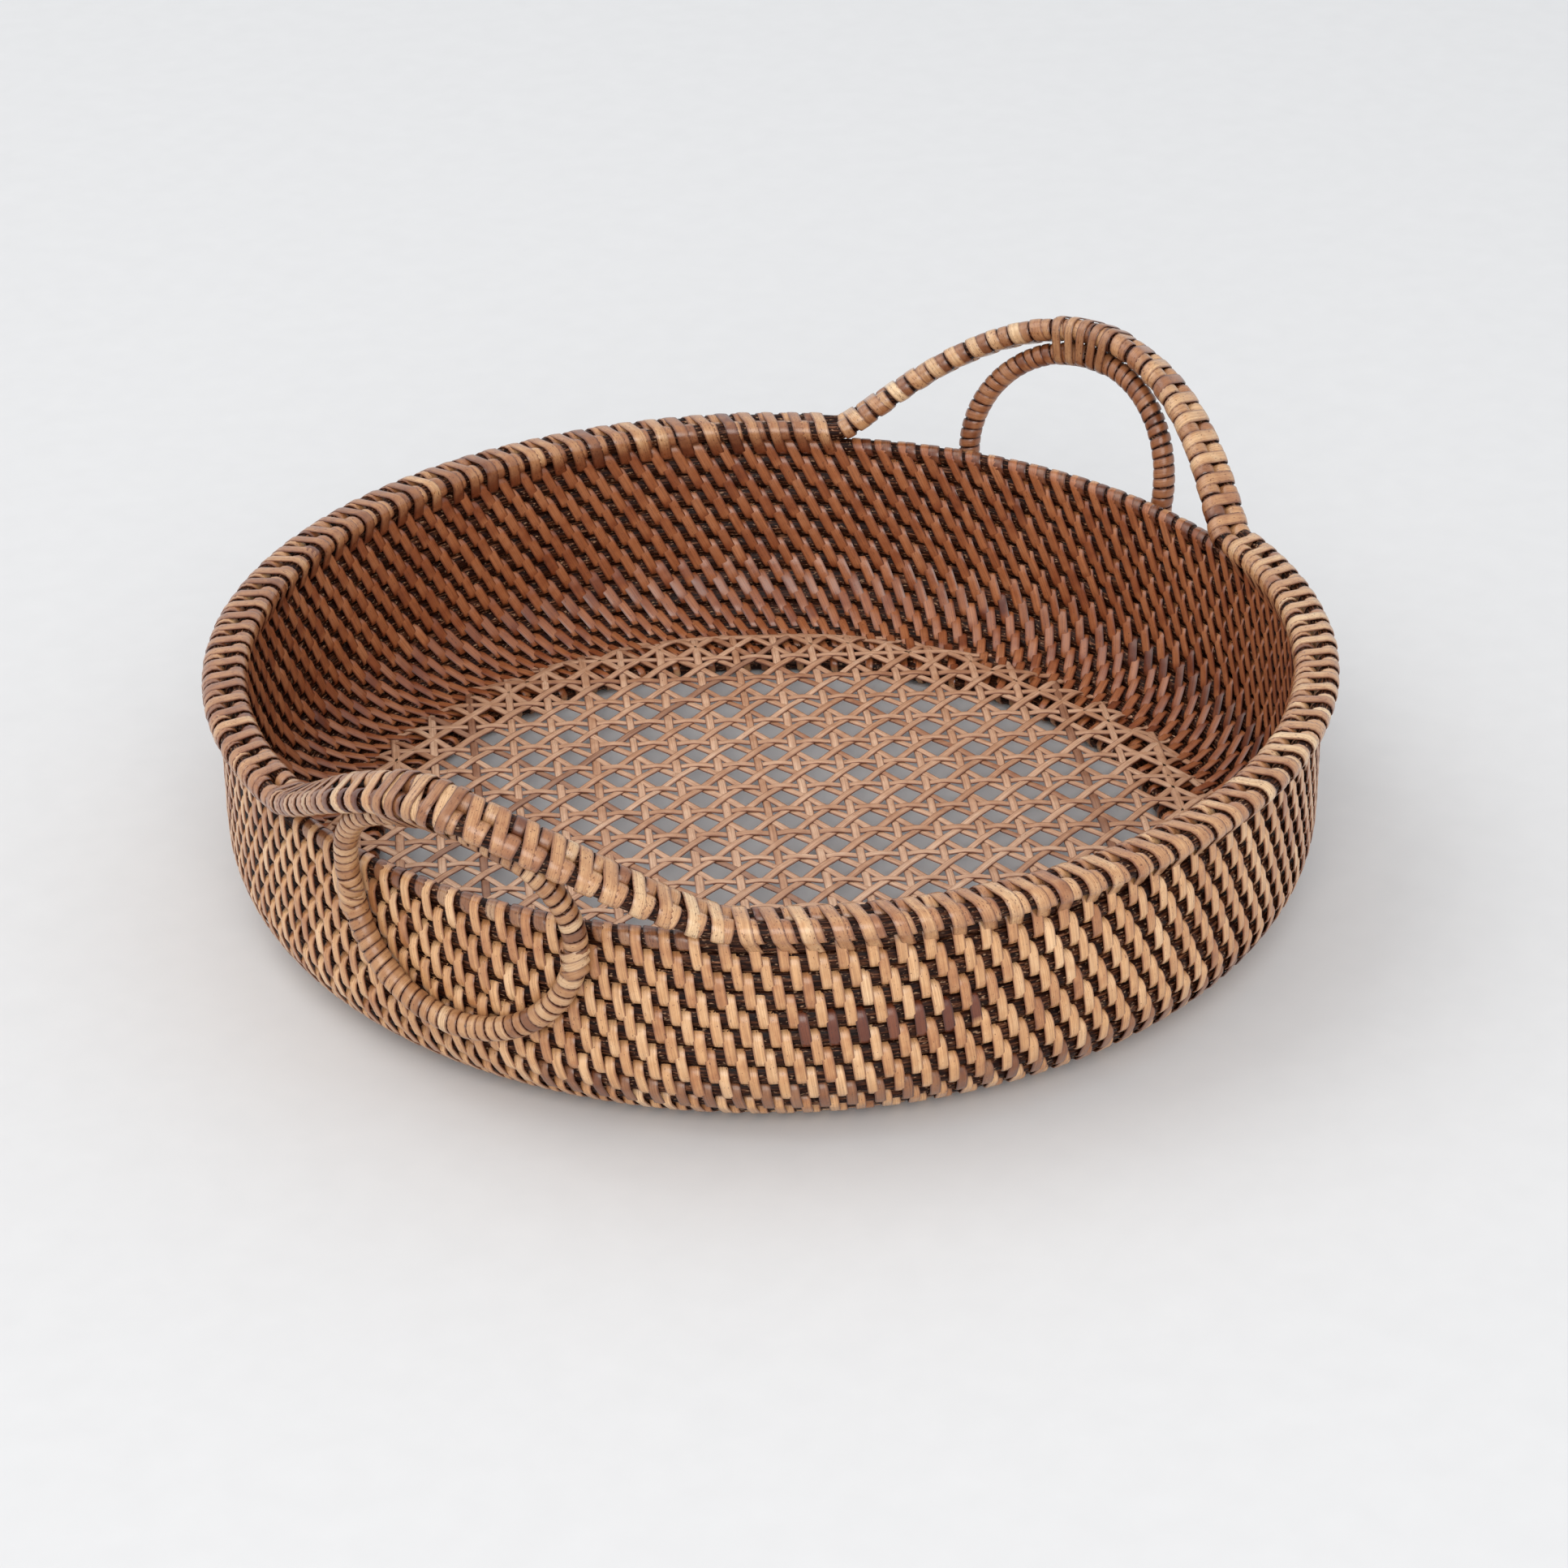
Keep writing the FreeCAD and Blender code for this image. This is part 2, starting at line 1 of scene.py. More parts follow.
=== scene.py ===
# %% [markdown]
# # A round winnowing basket of rattan
# The real basket is sixteen hoops of dark-stained rattan rod, stacked from the rim
# down and turned in under the bottom. Split rattan strip is wound round neighbouring
# hoops, and that winding holds the whole basket together. This lesson keeps the rods
# of the rim, the handles and the rings as they come. It draws the hoops again, so
# that they press on one another, and winds new strip round everything, because the
# look of the basket is in its strips: domed, leaning, uneven and each of its own tone.

# %% Load the frame
import math

import bpy
import numpy as np
from mathutils import Matrix, Vector


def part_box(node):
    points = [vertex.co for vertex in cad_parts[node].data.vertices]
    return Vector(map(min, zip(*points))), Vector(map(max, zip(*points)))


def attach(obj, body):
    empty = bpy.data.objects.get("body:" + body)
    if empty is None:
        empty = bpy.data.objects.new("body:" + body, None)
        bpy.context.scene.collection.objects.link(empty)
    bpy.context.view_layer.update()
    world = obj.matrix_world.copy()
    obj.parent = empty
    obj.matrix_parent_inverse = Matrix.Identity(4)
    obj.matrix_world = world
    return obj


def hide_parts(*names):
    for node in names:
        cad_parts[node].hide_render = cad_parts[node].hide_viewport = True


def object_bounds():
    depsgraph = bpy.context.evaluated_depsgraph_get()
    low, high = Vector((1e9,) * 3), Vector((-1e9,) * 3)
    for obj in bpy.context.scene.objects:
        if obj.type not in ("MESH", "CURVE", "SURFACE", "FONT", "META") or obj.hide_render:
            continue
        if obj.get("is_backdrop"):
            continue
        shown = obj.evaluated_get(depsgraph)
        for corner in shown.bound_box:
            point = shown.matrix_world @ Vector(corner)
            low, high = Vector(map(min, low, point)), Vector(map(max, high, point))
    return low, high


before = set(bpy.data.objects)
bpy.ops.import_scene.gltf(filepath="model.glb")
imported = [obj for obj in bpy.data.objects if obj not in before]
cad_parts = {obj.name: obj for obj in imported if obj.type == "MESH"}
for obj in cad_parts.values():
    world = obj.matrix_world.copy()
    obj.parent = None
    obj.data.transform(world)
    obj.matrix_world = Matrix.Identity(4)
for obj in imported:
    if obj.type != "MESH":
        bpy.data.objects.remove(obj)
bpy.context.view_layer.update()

# %% [markdown]
# ## Measuring the rods
# Every strip has to lie on a rod, so the rods are measured first. A hoop's box gives
# its thickness, its height and its radius. Reading them from the frame is safer than
# typing them again: if a rod changes there, the winding here follows it.

# %% Measure the hoops and the rim rods
MM = 0.001
ROW_COUNT = 15


def hoop_section(node, side="x"):
    """Radius of a hoop, its height and the radius of its rod."""
    low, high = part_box(node)
    rod = (high.z - low.z) / 2
    return getattr(high, side) - rod, (high.z + low.z) / 2, rod


def full_circle(count):
    """That many angles, evenly round a circle."""
    return np.linspace(0, 2 * math.pi, count, endpoint=False)


hoops = [hoop_section(f"basket_rod_{k:02d}") for k in range(1, ROW_COUNT + 2)]
rim_outer = hoop_section("rim_outer_rod_back", "y")
rim_inner = hoop_section("rim_inner_rod_back", "y")
wall_radius, rod_radius = hoops[0][0], hoops[0][2]
rim_middle = (rim_outer[0] + rim_inner[0]) / 2
rim_height = rim_outer[1]
print("wall radius", round(wall_radius, 4), "rod", round(rod_radius, 5))
print("rim height", round(rim_height, 4))

# %% [markdown]
# ## The strip and its count
# Split rattan for binding is about 3.3 mm wide and half a millimetre thick. Two
# strips and the bare rod between them make one pitch, which gives 130 turns in
# a row. Each row stands a little to the right of the row above it.

# %% Sizes of the winding
STRIP = 3.3 * MM
THICK = 0.5 * MM
BARE = 1.7 * MM
STEP = 2 * STRIP + BARE
TURNS = int(2 * math.pi * wall_radius / STEP)
PITCH = 2 * math.pi / TURNS
ROW_SHIFT = (STRIP + 0.2 * MM) / wall_radius
rng = np.random.default_rng(7)
print("turns in a row:", TURNS)

# %% [markdown]
# ## A ribbon with a domed back
# A strip is split from a round cane, so its back is a little domed and its edges are
# thin. A curve with a bevel could carry such a section, but it can't lie flat
# against a rod on one side only. Here the mesh is written directly: eight points of
# section are swept along a path, and each path point also says which way is up off
# the rod. Named values stored on the points (place along the fibre, tone, a darkening
# that is mostly painted shade inside the basket, stain) let one material paint every
# strip differently.

# %% Sweep a strip's section along many paths at once
# the section's points: across in half widths, up in thicknesses
SECTION = np.array([
    (-1, 0), (-1, 0.55), (-0.78, 0.88), (-0.3, 1), (0.3, 1), (0.78, 0.88), (1, 0.55), (1, 0),
])
SHARP = math.radians(50)


def unit(vectors):
    """Vectors of length one."""
    return vectors / np.maximum(np.linalg.norm(vectors, axis=-1, keepdims=True), 1e-12)


def ribbon(name, centre, facing, width, tone, darkening=0.0, stain=0.0, thick=THICK):
    """Strips as one mesh: centre and facing are (strips, points, 3) arrays.

    width, tone, darkening and stain are numbers, or arrays that fit (strips, points). The darkening is
    mostly painted shade on strips inside the basket.
    """
    strips, points = centre.shape[:2]
    heading = unit(np.gradient(centre, axis=1))
    side = unit(np.cross(heading, facing))
    facing = np.cross(side, heading)
    full = np.ones((strips, points))
    half = (full * width / 2)[:, :, None, None]
    place = centre[:, :, None, :] + side[:, :, None, :] * half * SECTION[:, 0, None]
    place = place + facing[:, :, None, :] * (thick * (SECTION[:, 1, None] - 0.5))
    count = len(SECTION)
    corner = np.arange(strips * points * count).reshape(strips, points, count)
    after = np.roll(corner, -1, axis=2)
    quads = np.stack([corner[:, :-1], after[:, :-1], after[:, 1:], corner[:, 1:]], axis=-1)
    caps = np.concatenate([corner[:, 0, ::-1], corner[:, -1]]).reshape(-1)
    loops = np.concatenate([quads.reshape(-1), caps]).astype(np.int32)
    starts = np.concatenate([
        np.arange(quads.size // 4) * 4,
        quads.size + np.arange(2 * strips) * count,
    ]).astype(np.int32)
    mesh = bpy.data.meshes.new(name)
    mesh.vertices.add(place.size // 3)
    mesh.vertices.foreach_set("co", place.reshape(-1).astype(np.float32))
    mesh.loops.add(len(loops))
    mesh.loops.foreach_set("vertex_index", loops)
    mesh.polygons.add(len(starts))
    mesh.polygons.foreach_set("loop_start", starts)
    mesh.polygons.foreach_set("use_smooth", np.ones(len(starts), bool))
    mesh.update(calc_edges=True)
    mesh.set_sharp_from_angle(angle=SHARP)
    step = np.linalg.norm(np.diff(centre, axis=1, prepend=centre[:, :1]), axis=-1)
    along = np.cumsum(step, axis=1) / MM + rng.uniform(0, 900, (strips, 1))
    across = half[..., 0] / MM * SECTION[:, 0]
    seed = rng.uniform(0, 50, (strips, 1, 1)) + 0 * across
    fibre = np.stack([along[:, :, None] + 0 * across, across, seed], axis=-1)
    mesh.attributes.new("fibre", "FLOAT_VECTOR", "POINT").data.foreach_set("vector", fibre.ravel())
    edge = np.abs(SECTION[:, 0]) + 0 * across
    for label, value in (("tone", tone), ("darkening", darkening), ("stain", stain)):
        value = (full * value)[:, :, None] + 0 * across
        mesh.attributes.new(label, "FLOAT", "POINT").data.foreach_set("value", value.ravel())
    mesh.attributes.new("edge", "FLOAT", "POINT").data.foreach_set("value", edge.ravel())
    piece = bpy.data.objects.new(name, mesh)
    bpy.context.collection.objects.link(piece)
    return piece


def put_in(piece, material, node):
    """Give a piece its material and slot, and put it on the body in a node's place."""
    piece.data.materials.append(material)
    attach(piece, "root")
    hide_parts(node)


# %% [markdown]
# ## Pulling a strip round rods
# In a slice through the basket a strip is a belt round two or three circles. The belt
# is worked out once in that slice, with x outwards and y upwards, running
# anticlockwise: up the outside and down the inside.

# %% The belt round some rods
def belt(circles, room, steps=5, run=3, begin=None):
    """Points of the belt's middle and its outward normals, once round and closed.

    A circle is (x, y, radius) and room is how far the belt's middle stands off it.
    steps is the number of points in three radians of bend, and run the number of
    parts of a straight. begin is the direction in which the belt starts, where its
    ends are out of sight.
    """
    touch = []
    for one, two in zip(circles, circles[1:] + circles[:1]):
        gap = np.array([two[0] - one[0], two[1] - one[1]])
        length = np.linalg.norm(gap)
        if length == 0:
            continue
        ahead = gap / length
        lean = (one[2] - two[2]) / length
        right = np.array([ahead[1], -ahead[0]])
        normal = ahead * lean + right * math.sqrt(1 - lean * lean)
        touch.append(math.atan2(normal[1], normal[0]))
    if not touch:
        touch = [math.pi]
    places, normals = [], []
    for index, (x, y, radius) in enumerate(circles):
        came, leaves = touch[index - 1], touch[index]
        turn = (leaves - came) % (2 * math.pi) or 2 * math.pi
        count = max(3, round(steps * turn / 3)) + 1
        for share in np.linspace(0, 1, count, endpoint=len(circles) > 1):
            angle = came + turn * share
            cos, sin = math.cos(angle), math.sin(angle)
            normals.append((cos, sin))
            places.append((x + (radius + room) * cos, y + (radius + room) * sin))
        if len(circles) > 1:
            x2, y2, radius2 = circles[(index + 1) % len(circles)]
            start = np.array(places[-1])
            end = np.array([x2, y2]) + (radius2 + room) * np.array(normals[-1])
            for share in np.arange(1, run) / run:
                places.append(tuple(start + (end - start) * share))
                normals.append(normals[-1])
    places, normals = np.array(places), np.array(normals)
    if begin is not None:
        first = int((places @ np.array([math.cos(begin), math.sin(begin)])).argmax())
        places, normals = np.roll(places, -first, axis=0), np.roll(normals, -first, axis=0)
    return np.concatenate([places, places[:1]]), np.concatenate([normals, normals[:1]])


def share_round(places):
    """How far round the belt each point is, from 0 to 1."""
    length = np.concatenate([[0], np.cumsum(np.linalg.norm(np.diff(places, axis=0), axis=1))])
    return length / length[-1]


def stand_up(angle, places, normals):
    """Carry belt points from the slice to the basket, each at its own angle."""
    cos, sin = np.cos(angle), np.sin(angle)
    centre = np.stack([places[..., 0] * cos, places[..., 0] * sin, places[..., 1] + 0 * cos], -1)
    facing = np.stack([normals[..., 0] * cos, normals[..., 0] * sin, normals[..., 1] + 0 * cos], -1)
    return centre, facing


# %% [markdown]
# ## Rattan strip, split and lacquered
# Split rattan keeps the cane's hard outer skin on its back: a honey-coloured, close,
# satin surface with fine fibres along it, brown specks where leaves grew, and
# now and then fine wrinkles across it. Old lacquer gives a second, softer shine. The
# edges are painted darker: partly dirt that settles there, partly painted shade where
# the domed back turns away from the light. The fibres here are drawn about 0.3 mm
# apart, coarser than real ones, because real ones would be too fine to show.

# %% Colours and the one helper that adds a node
def linear(hex_colour):
    """A linear colour from an sRGB hex value."""
    parts = [int(hex_colour[i:i + 2], 16) / 255 for i in (1, 3, 5)]
    return [p / 12.92 if p <= 0.04045 else ((p + 0.055) / 1.055) ** 2.4 for p in parts] + [1.0]


def add(tree, kind, inputs=None, **settings):
    """Add a node with its settings; inputs are plain values or other nodes' outputs."""
    node = tree.nodes.new("ShaderNode" + kind)
    for name, value in settings.items():
        setattr(node, name, value)
    for name, value in (inputs or {}).items():
        if isinstance(value, bpy.types.NodeSocket):
            tree.links.new(value, node.inputs[name])
        else:
            node.inputs[name].default_value = value
    return node


def set_stops(ramp_node, stops):
    """Give a colour ramp its stops, as (place, hex colour)."""
    elements = ramp_node.color_ramp.elements
    while len(elements) > 1:
        elements.remove(elements[-1])
    elements[0].position = stops[0][0]
    elements[0].color = linear(stops[0][1])
    for place, colour in stops[1:]:
        elements.new(place).color = linear(colour)
    return ramp_node.outputs["Color"]


# %% The strip material
def split_rattan(name, tones, specks, roughness, coat):
    """Lacquered split rattan: tones from dark to light, and how freckled it is."""
    material = bpy.data.materials.new(name)
    material.use_nodes = True
    tree = material.node_tree
    shader = tree.nodes["Principled BSDF"]
    fibre = add(tree, "Attribute", attribute_name="fibre").outputs["Vector"]
    tone = add(tree, "Attribute", attribute_name="tone").outputs["Fac"]
    darkening = add(tree, "Attribute", attribute_name="darkening").outputs["Fac"]
    stain = add(tree, "Attribute", attribute_name="stain").outputs["Fac"]
    edge = add(tree, "Attribute", attribute_name="edge").outputs["Fac"]
    # fibres: 0.3 mm apart across the strip, some 20 mm long
    along_fibre = add(tree, "VectorMath", {0: fibre, 1: (0.05, 3.2, 1.0)}, operation="MULTIPLY")
    fibres = add(tree, "TexNoise", {"Vector": along_fibre.outputs[0], "Scale": 1.0, "Detail": 3.0})
    # cloudy patches: 4 mm, as one stretch of cane is darker than the next
    patch_place = add(tree, "VectorMath", {0: fibre, 1: (0.25, 0.3, 1.0)}, operation="MULTIPLY")
    patches = add(tree, "TexNoise", {"Vector": patch_place.outputs[0], "Scale": 1.0, "Detail": 2.0})
    # wrinkles: 0.35 mm apart along the strip
    wrinkle_place = add(tree, "VectorMath", {0: fibre, 1: (2.8, 0.25, 3.0)}, operation="MULTIPLY")
    wrinkles = add(tree, "TexNoise", {
        "Vector": wrinkle_place.outputs[0], "Scale": 1.0, "Detail": 1.0,
    })
    # specks: about 0.6 mm
    speck_place = add(tree, "VectorMath", {0: fibre, 1: (1.1, 1.9, 5.0)}, operation="MULTIPLY")
    speck_noise = add(tree, "TexNoise", {
        "Vector": speck_place.outputs[0], "Scale": 1.0, "Detail": 1.5,
    })
    # each strip's own tone, made lighter and darker by the patches
    mixed_tone = add(tree, "Math", {
        0: patches.outputs["Fac"], 1: 0.5, 2: tone,
    }, operation="MULTIPLY_ADD")
    lowered = add(tree, "Math", {0: mixed_tone.outputs[0], 1: 0.25}, operation="SUBTRACT")
    base = set_stops(add(tree, "ValToRGB", {"Fac": lowered.outputs[0]}), tones)
    fibre_depth = add(tree, "MapRange", {
        "Value": fibres.outputs["Fac"], "From Min": 0.35, "From Max": 0.62,
        "To Min": 0.42, "To Max": 0.0,
    })
    streaked = add(tree, "Mix", {
        "Factor": fibre_depth.outputs[0], "A": base, "B": linear("#7d4a2a"),
    }, data_type="RGBA")
    speck_depth = add(tree, "MapRange", {
        "Value": speck_noise.outputs["Fac"], "From Min": 0.72 - 0.12 * specks,
        "From Max": 0.80 - 0.10 * specks, "To Min": 0.0, "To Max": 0.8,
    })
    specked = add(tree, "Mix", {
        "Factor": speck_depth.outputs[0], "A": streaked.outputs["Result"], "B": linear("#5a2d17"),
    }, data_type="RGBA")
    # painted shade: the darkening value multiplies in a dull red-brown, mostly where strips lie inside
    # the basket
    darkened = add(tree, "Mix", {
        "Factor": darkening, "A": specked.outputs["Result"], "B": linear("#b8815f"),
    }, data_type="RGBA", blend_type="MULTIPLY")
    dyed = add(tree, "Mix", {
        "Factor": stain, "A": darkened.outputs["Result"], "B": linear("#8a5f50"),
    }, data_type="RGBA", blend_type="MULTIPLY")
    # painted shade and dirt: every strip's edges are darkened, as dirt settles there and the domed
    # back turns away from the light
    edge_shade_and_dirt = add(tree, "MapRange", {
        "Value": edge, "From Min": 0.62, "From Max": 1.0, "To Min": 0.0, "To Max": 0.8,
    })
    edge_darkened = add(tree, "Mix", {
        "Factor": edge_shade_and_dirt.outputs[0], "A": dyed.outputs["Result"], "B": linear("#75341b"),
    }, data_type="RGBA", blend_type="MULTIPLY")
    tree.links.new(edge_darkened.outputs["Result"], shader.inputs["Base Color"])
    gloss = add(tree, "MapRange", {
        "Value": patches.outputs["Fac"], "From Min": 0.3, "From Max": 0.7,
        "To Min": roughness - 0.08, "To Max": roughness + 0.1,
    })
    tree.links.new(gloss.outputs[0], shader.inputs["Roughness"])
    relief = add(tree, "Math", {
        0: wrinkles.outputs["Fac"], 1: patches.outputs["Fac"], 2: fibres.outputs["Fac"],
    }, operation="MULTIPLY_ADD")
    bump = add(tree, "Bump", {"Height": relief.outputs[0], "Strength": 0.5, "Distance": 0.00018})
    tree.links.new(bump.outputs[0], shader.inputs["Normal"])
    shader.inputs["IOR"].default_value = 1.5
    shader.inputs["Coat Weight"].default_value = coat
    shader.inputs["Coat Roughness"].default_value = 0.22
    return material


WALL_TONES = ((0.1, "#85502f"), (0.35, "#b97f52"), (0.6, "#d9a674"), (0.9, "#efc597"))
wall_strip = split_rattan("Split rattan wall strip satin lacquer", WALL_TONES, 0.45, 0.38, 0.4)
RIM_TONES = ((0.1, "#6b3a25"), (0.35, "#a77049"), (0.6, "#cd9c6e"), (0.9, "#ecca9e"))
rim_strip = split_rattan("Split rattan rim strip glossy lacquer", RIM_TONES, 0.9, 0.34, 0.5)
RING_TONES = ((0.1, "#7f5234"), (0.35, "#ae7d52"), (0.6, "#cca074"), (0.9, "#e2c29a"))
ring_strip = split_rattan("Split rattan ring strip satin lacquer", RING_TONES, 0.6, 0.38, 0.35)
CANE_TONES = ((0.1, "#925f46"), (0.35, "#bf8f6e"), (0.6, "#d9ae8e"), (0.9, "#edceb1"))
floor_cane = split_rattan("Floor cane satin", CANE_TONES, 0.25, 0.48, 0.12)
print("strip materials:", wall_strip.name, rim_strip.name, ring_strip.name, floor_cane.name)

# %% [markdown]
# ## Stained rattan rod
# The hoops are whole rattan, stained almost black and varnished. Rattan rod has long
# grooves, so light breaks into short bright streaks along it. The grain has to run
# round the basket with the rod: the angle round the basket, scaled to the length of
# the hoop, is one coordinate, and radius and height are the other two. Light flecks
# in the colour are painted glints on the varnish, and the darkest tones are partly
# painted shade, deep enough that the chinks between the stitches read black.

# %% The rod material
def stained_rod(name):
    """Dark stained and varnished rattan, with grooves that run round the basket."""
    material = bpy.data.materials.new(name)
    material.use_nodes = True
    tree = material.node_tree
    shader = tree.nodes["Principled BSDF"]
    place = add(tree, "TexCoord").outputs["Object"]
    split = add(tree, "SeparateXYZ", {0: place})
    angle = add(tree, "Math", {0: split.outputs["Y"], 1: split.outputs["X"]}, operation="ARCTAN2")
    flat = add(tree, "VectorMath", {0: place, 1: (1.0, 1.0, 0.0)}, operation="MULTIPLY")
    radius = add(tree, "VectorMath", {0: flat.outputs[0]}, operation="LENGTH")
    round_hoop = add(tree, "CombineXYZ", {
        "X": angle.outputs[0], "Y": radius.outputs["Value"], "Z": split.outputs["Z"],
    })
    # grooves 0.6 mm apart, about 7 mm long
    grooves_place = add(tree, "VectorMath", {
        0: round_hoop.outputs[0], 1: (26.0, 1600.0, 1600.0),
    }, operation="MULTIPLY")
    grooves = add(tree, "TexNoise", {"Vector": grooves_place.outputs[0], "Scale": 1.0, "Detail": 3.0})
    # painted glints: light flecks 0.7 mm wide, 1.6 mm long, painted into the colour where the varnish
    # shines
    flecks_place = add(tree, "VectorMath", {
        0: round_hoop.outputs[0], 1: (110.0, 1500.0, 1500.0),
    }, operation="MULTIPLY")
    flecks = add(tree, "TexNoise", {"Vector": flecks_place.outputs[0], "Scale": 1.0, "Detail": 1.0})
    # partly painted shade: the rods are stained almost black, and the darkest stops go further so that
    # the chinks between stitches read black
    body = set_stops(add(tree, "ValToRGB", {"Fac": grooves.outputs["Fac"]}), (
        (0.3, "#0c0301"), (0.5, "#230c05"), (0.64, "#54301d"), (0.8, "#9c6c50"),
    ))
    fleck_depth = add(tree, "MapRange", {
        "Value": flecks.outputs["Fac"], "From Min": 0.62, "From Max": 0.74,
        "To Min": 0.0, "To Max": 0.5,
    })
    flecked = add(tree, "Mix", {
        "Factor": fleck_depth.outputs[0], "A": body, "B": linear("#c59a78"),
    }, data_type="RGBA")
    tree.links.new(flecked.outputs["Result"], shader.inputs["Base Color"])
    bump = add(tree, "Bump", {"Height": grooves.outputs["Fac"], "Strength": 0.8, "Distance": 0.0003})
    tree.links.new(bump.outputs[0], shader.inputs["Normal"])
    shader.inputs["Roughness"].default_value = 0.42
    shader.inputs["IOR"].default_value = 1.5
    shader.inputs["Specular IOR Level"].default_value = 0.12
    return material


rod_finish = stained_rod("Whole rattan rod stained and varnished")
kept_rods = [
    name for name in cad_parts
    if name.startswith(("rim_", "handle_")) and (name.endswith(("_rod", "_ring")) or "_rod_" in name)
]
for name in kept_rods:
    for material_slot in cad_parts[name].material_slots:
        material_slot.material = rod_finish
print("rods that keep their shape:", len(kept_rods))

# %% [markdown]
# ## Hoops pressed together
# Real rods aren't perfectly round, and the winding pulls them hard against one
# another. So each hoop is drawn a little taller than it is thick, which closes the
# chink to its neighbour, and its size wanders slightly along its length. The free
# sides of the first and the last hoop stay round.

# %% Make the hoops
HOOP_POINTS = 360
ROD_POINTS = 14
PRESSED = 0.07  # what a hoop gains towards a neighbour, so that the two just overlap


def make_hoop(number):
    """One hoop: a section that reaches to its neighbours, carried round the basket."""
    radius, height, rod = hoops[number - 1]
    before, after = hoops[max(number - 2, 0)], hoops[min(number, ROW_COUNT)]
    up = unit(np.array([before[0] - after[0], before[1] - after[1]]))
    out = np.array([up[1], -up[0]])
    above = np.array([before[0] - radius, before[1] - height]) / 2 if number > 1 else up * rod
    below = np.array([after[0] - radius, after[1] - height]) / 2
    if number > ROW_COUNT:
        below = -up * rod
    angle, turn = full_circle(HOOP_POINTS), full_circle(ROD_POINTS)
    sine = np.sin(turn)[:, None]
    rise = np.maximum(sine, 0) * above + np.maximum(-sine, 0) * below
    wander = sum(
        rng.uniform(0.004, 0.012) * np.sin(angle * rng.integers(3, 40) + rng.uniform(0, 6))
        for _ in range(6)
    )
    size = (0.98 + wander)[:, None]
    x = radius + size * np.cos(turn) * rod * out[0] + (size + PRESSED) * rise[:, 0]
    z = height + size * np.cos(turn) * rod * out[1] + (size + PRESSED) * rise[:, 1]
    points = np.stack([x * np.cos(angle)[:, None], x * np.sin(angle)[:, None], z], -1)
    corner = np.arange(HOOP_POINTS * ROD_POINTS).reshape(HOOP_POINTS, ROD_POINTS)
    ahead, beside = np.roll(corner, -1, axis=0), np.roll(corner, -1, axis=1)
    faces = np.stack([corner, ahead, np.roll(ahead, -1, axis=1), beside], -1)
    mesh = bpy.data.meshes.new(f"hoop_{number:02d}")
    mesh.from_pydata(points.reshape(-1, 3), [], faces.reshape(-1, 4).tolist())
    mesh.polygons.foreach_set("use_smooth", np.ones(len(mesh.polygons), bool))
    piece = bpy.data.objects.new(f"hoop_{number:02d}", mesh)
    bpy.context.collection.objects.link(piece)
    put_in(piece, rod_finish, f"basket_rod_{number:02d}")
    return piece


print("hoops:", len([make_hoop(number) for number in range(1, ROW_COUNT + 2)]))

# %% [markdown]
# ## The rows of the wall
# One strip makes a whole row: it crosses two hoops on the outside, tucks in between
# hoops, and crosses the same two on the inside, one pitch further on after each turn.
# Most of that pitch is made inside, so the strip is nearly upright outside and slants
# strongly inside. Building the row as one winding, not as 130 copies of a stitch,
# makes the inside come out right by itself. A small random place and width for each
# turn gives the look of work by hand.

# %% Wind the rows
OUTSIDE_LEAD = 0.24  # share of a pitch that the strip makes on the outside
BOW = 0.45 * MM  # how far it stands off the rods half-way
# dye from the rods in the strip of two rows: from and to degrees, depth there, depth elsewhere
DYED_ROWS = {5: (215, 233, 1.0, 0.0), 9: (190, 345, 0.75, 0.2)}


def hand(count, amount):
    """A small random amount for each turn, with the ends alike."""
    values = rng.normal(0, amount, count + 1)
    values[-1] = values[0]
    return values


def closed_row(values, last):
    """Values of every turn after one another, and one more where the row's ends meet."""
    return np.append(values.ravel(), last)


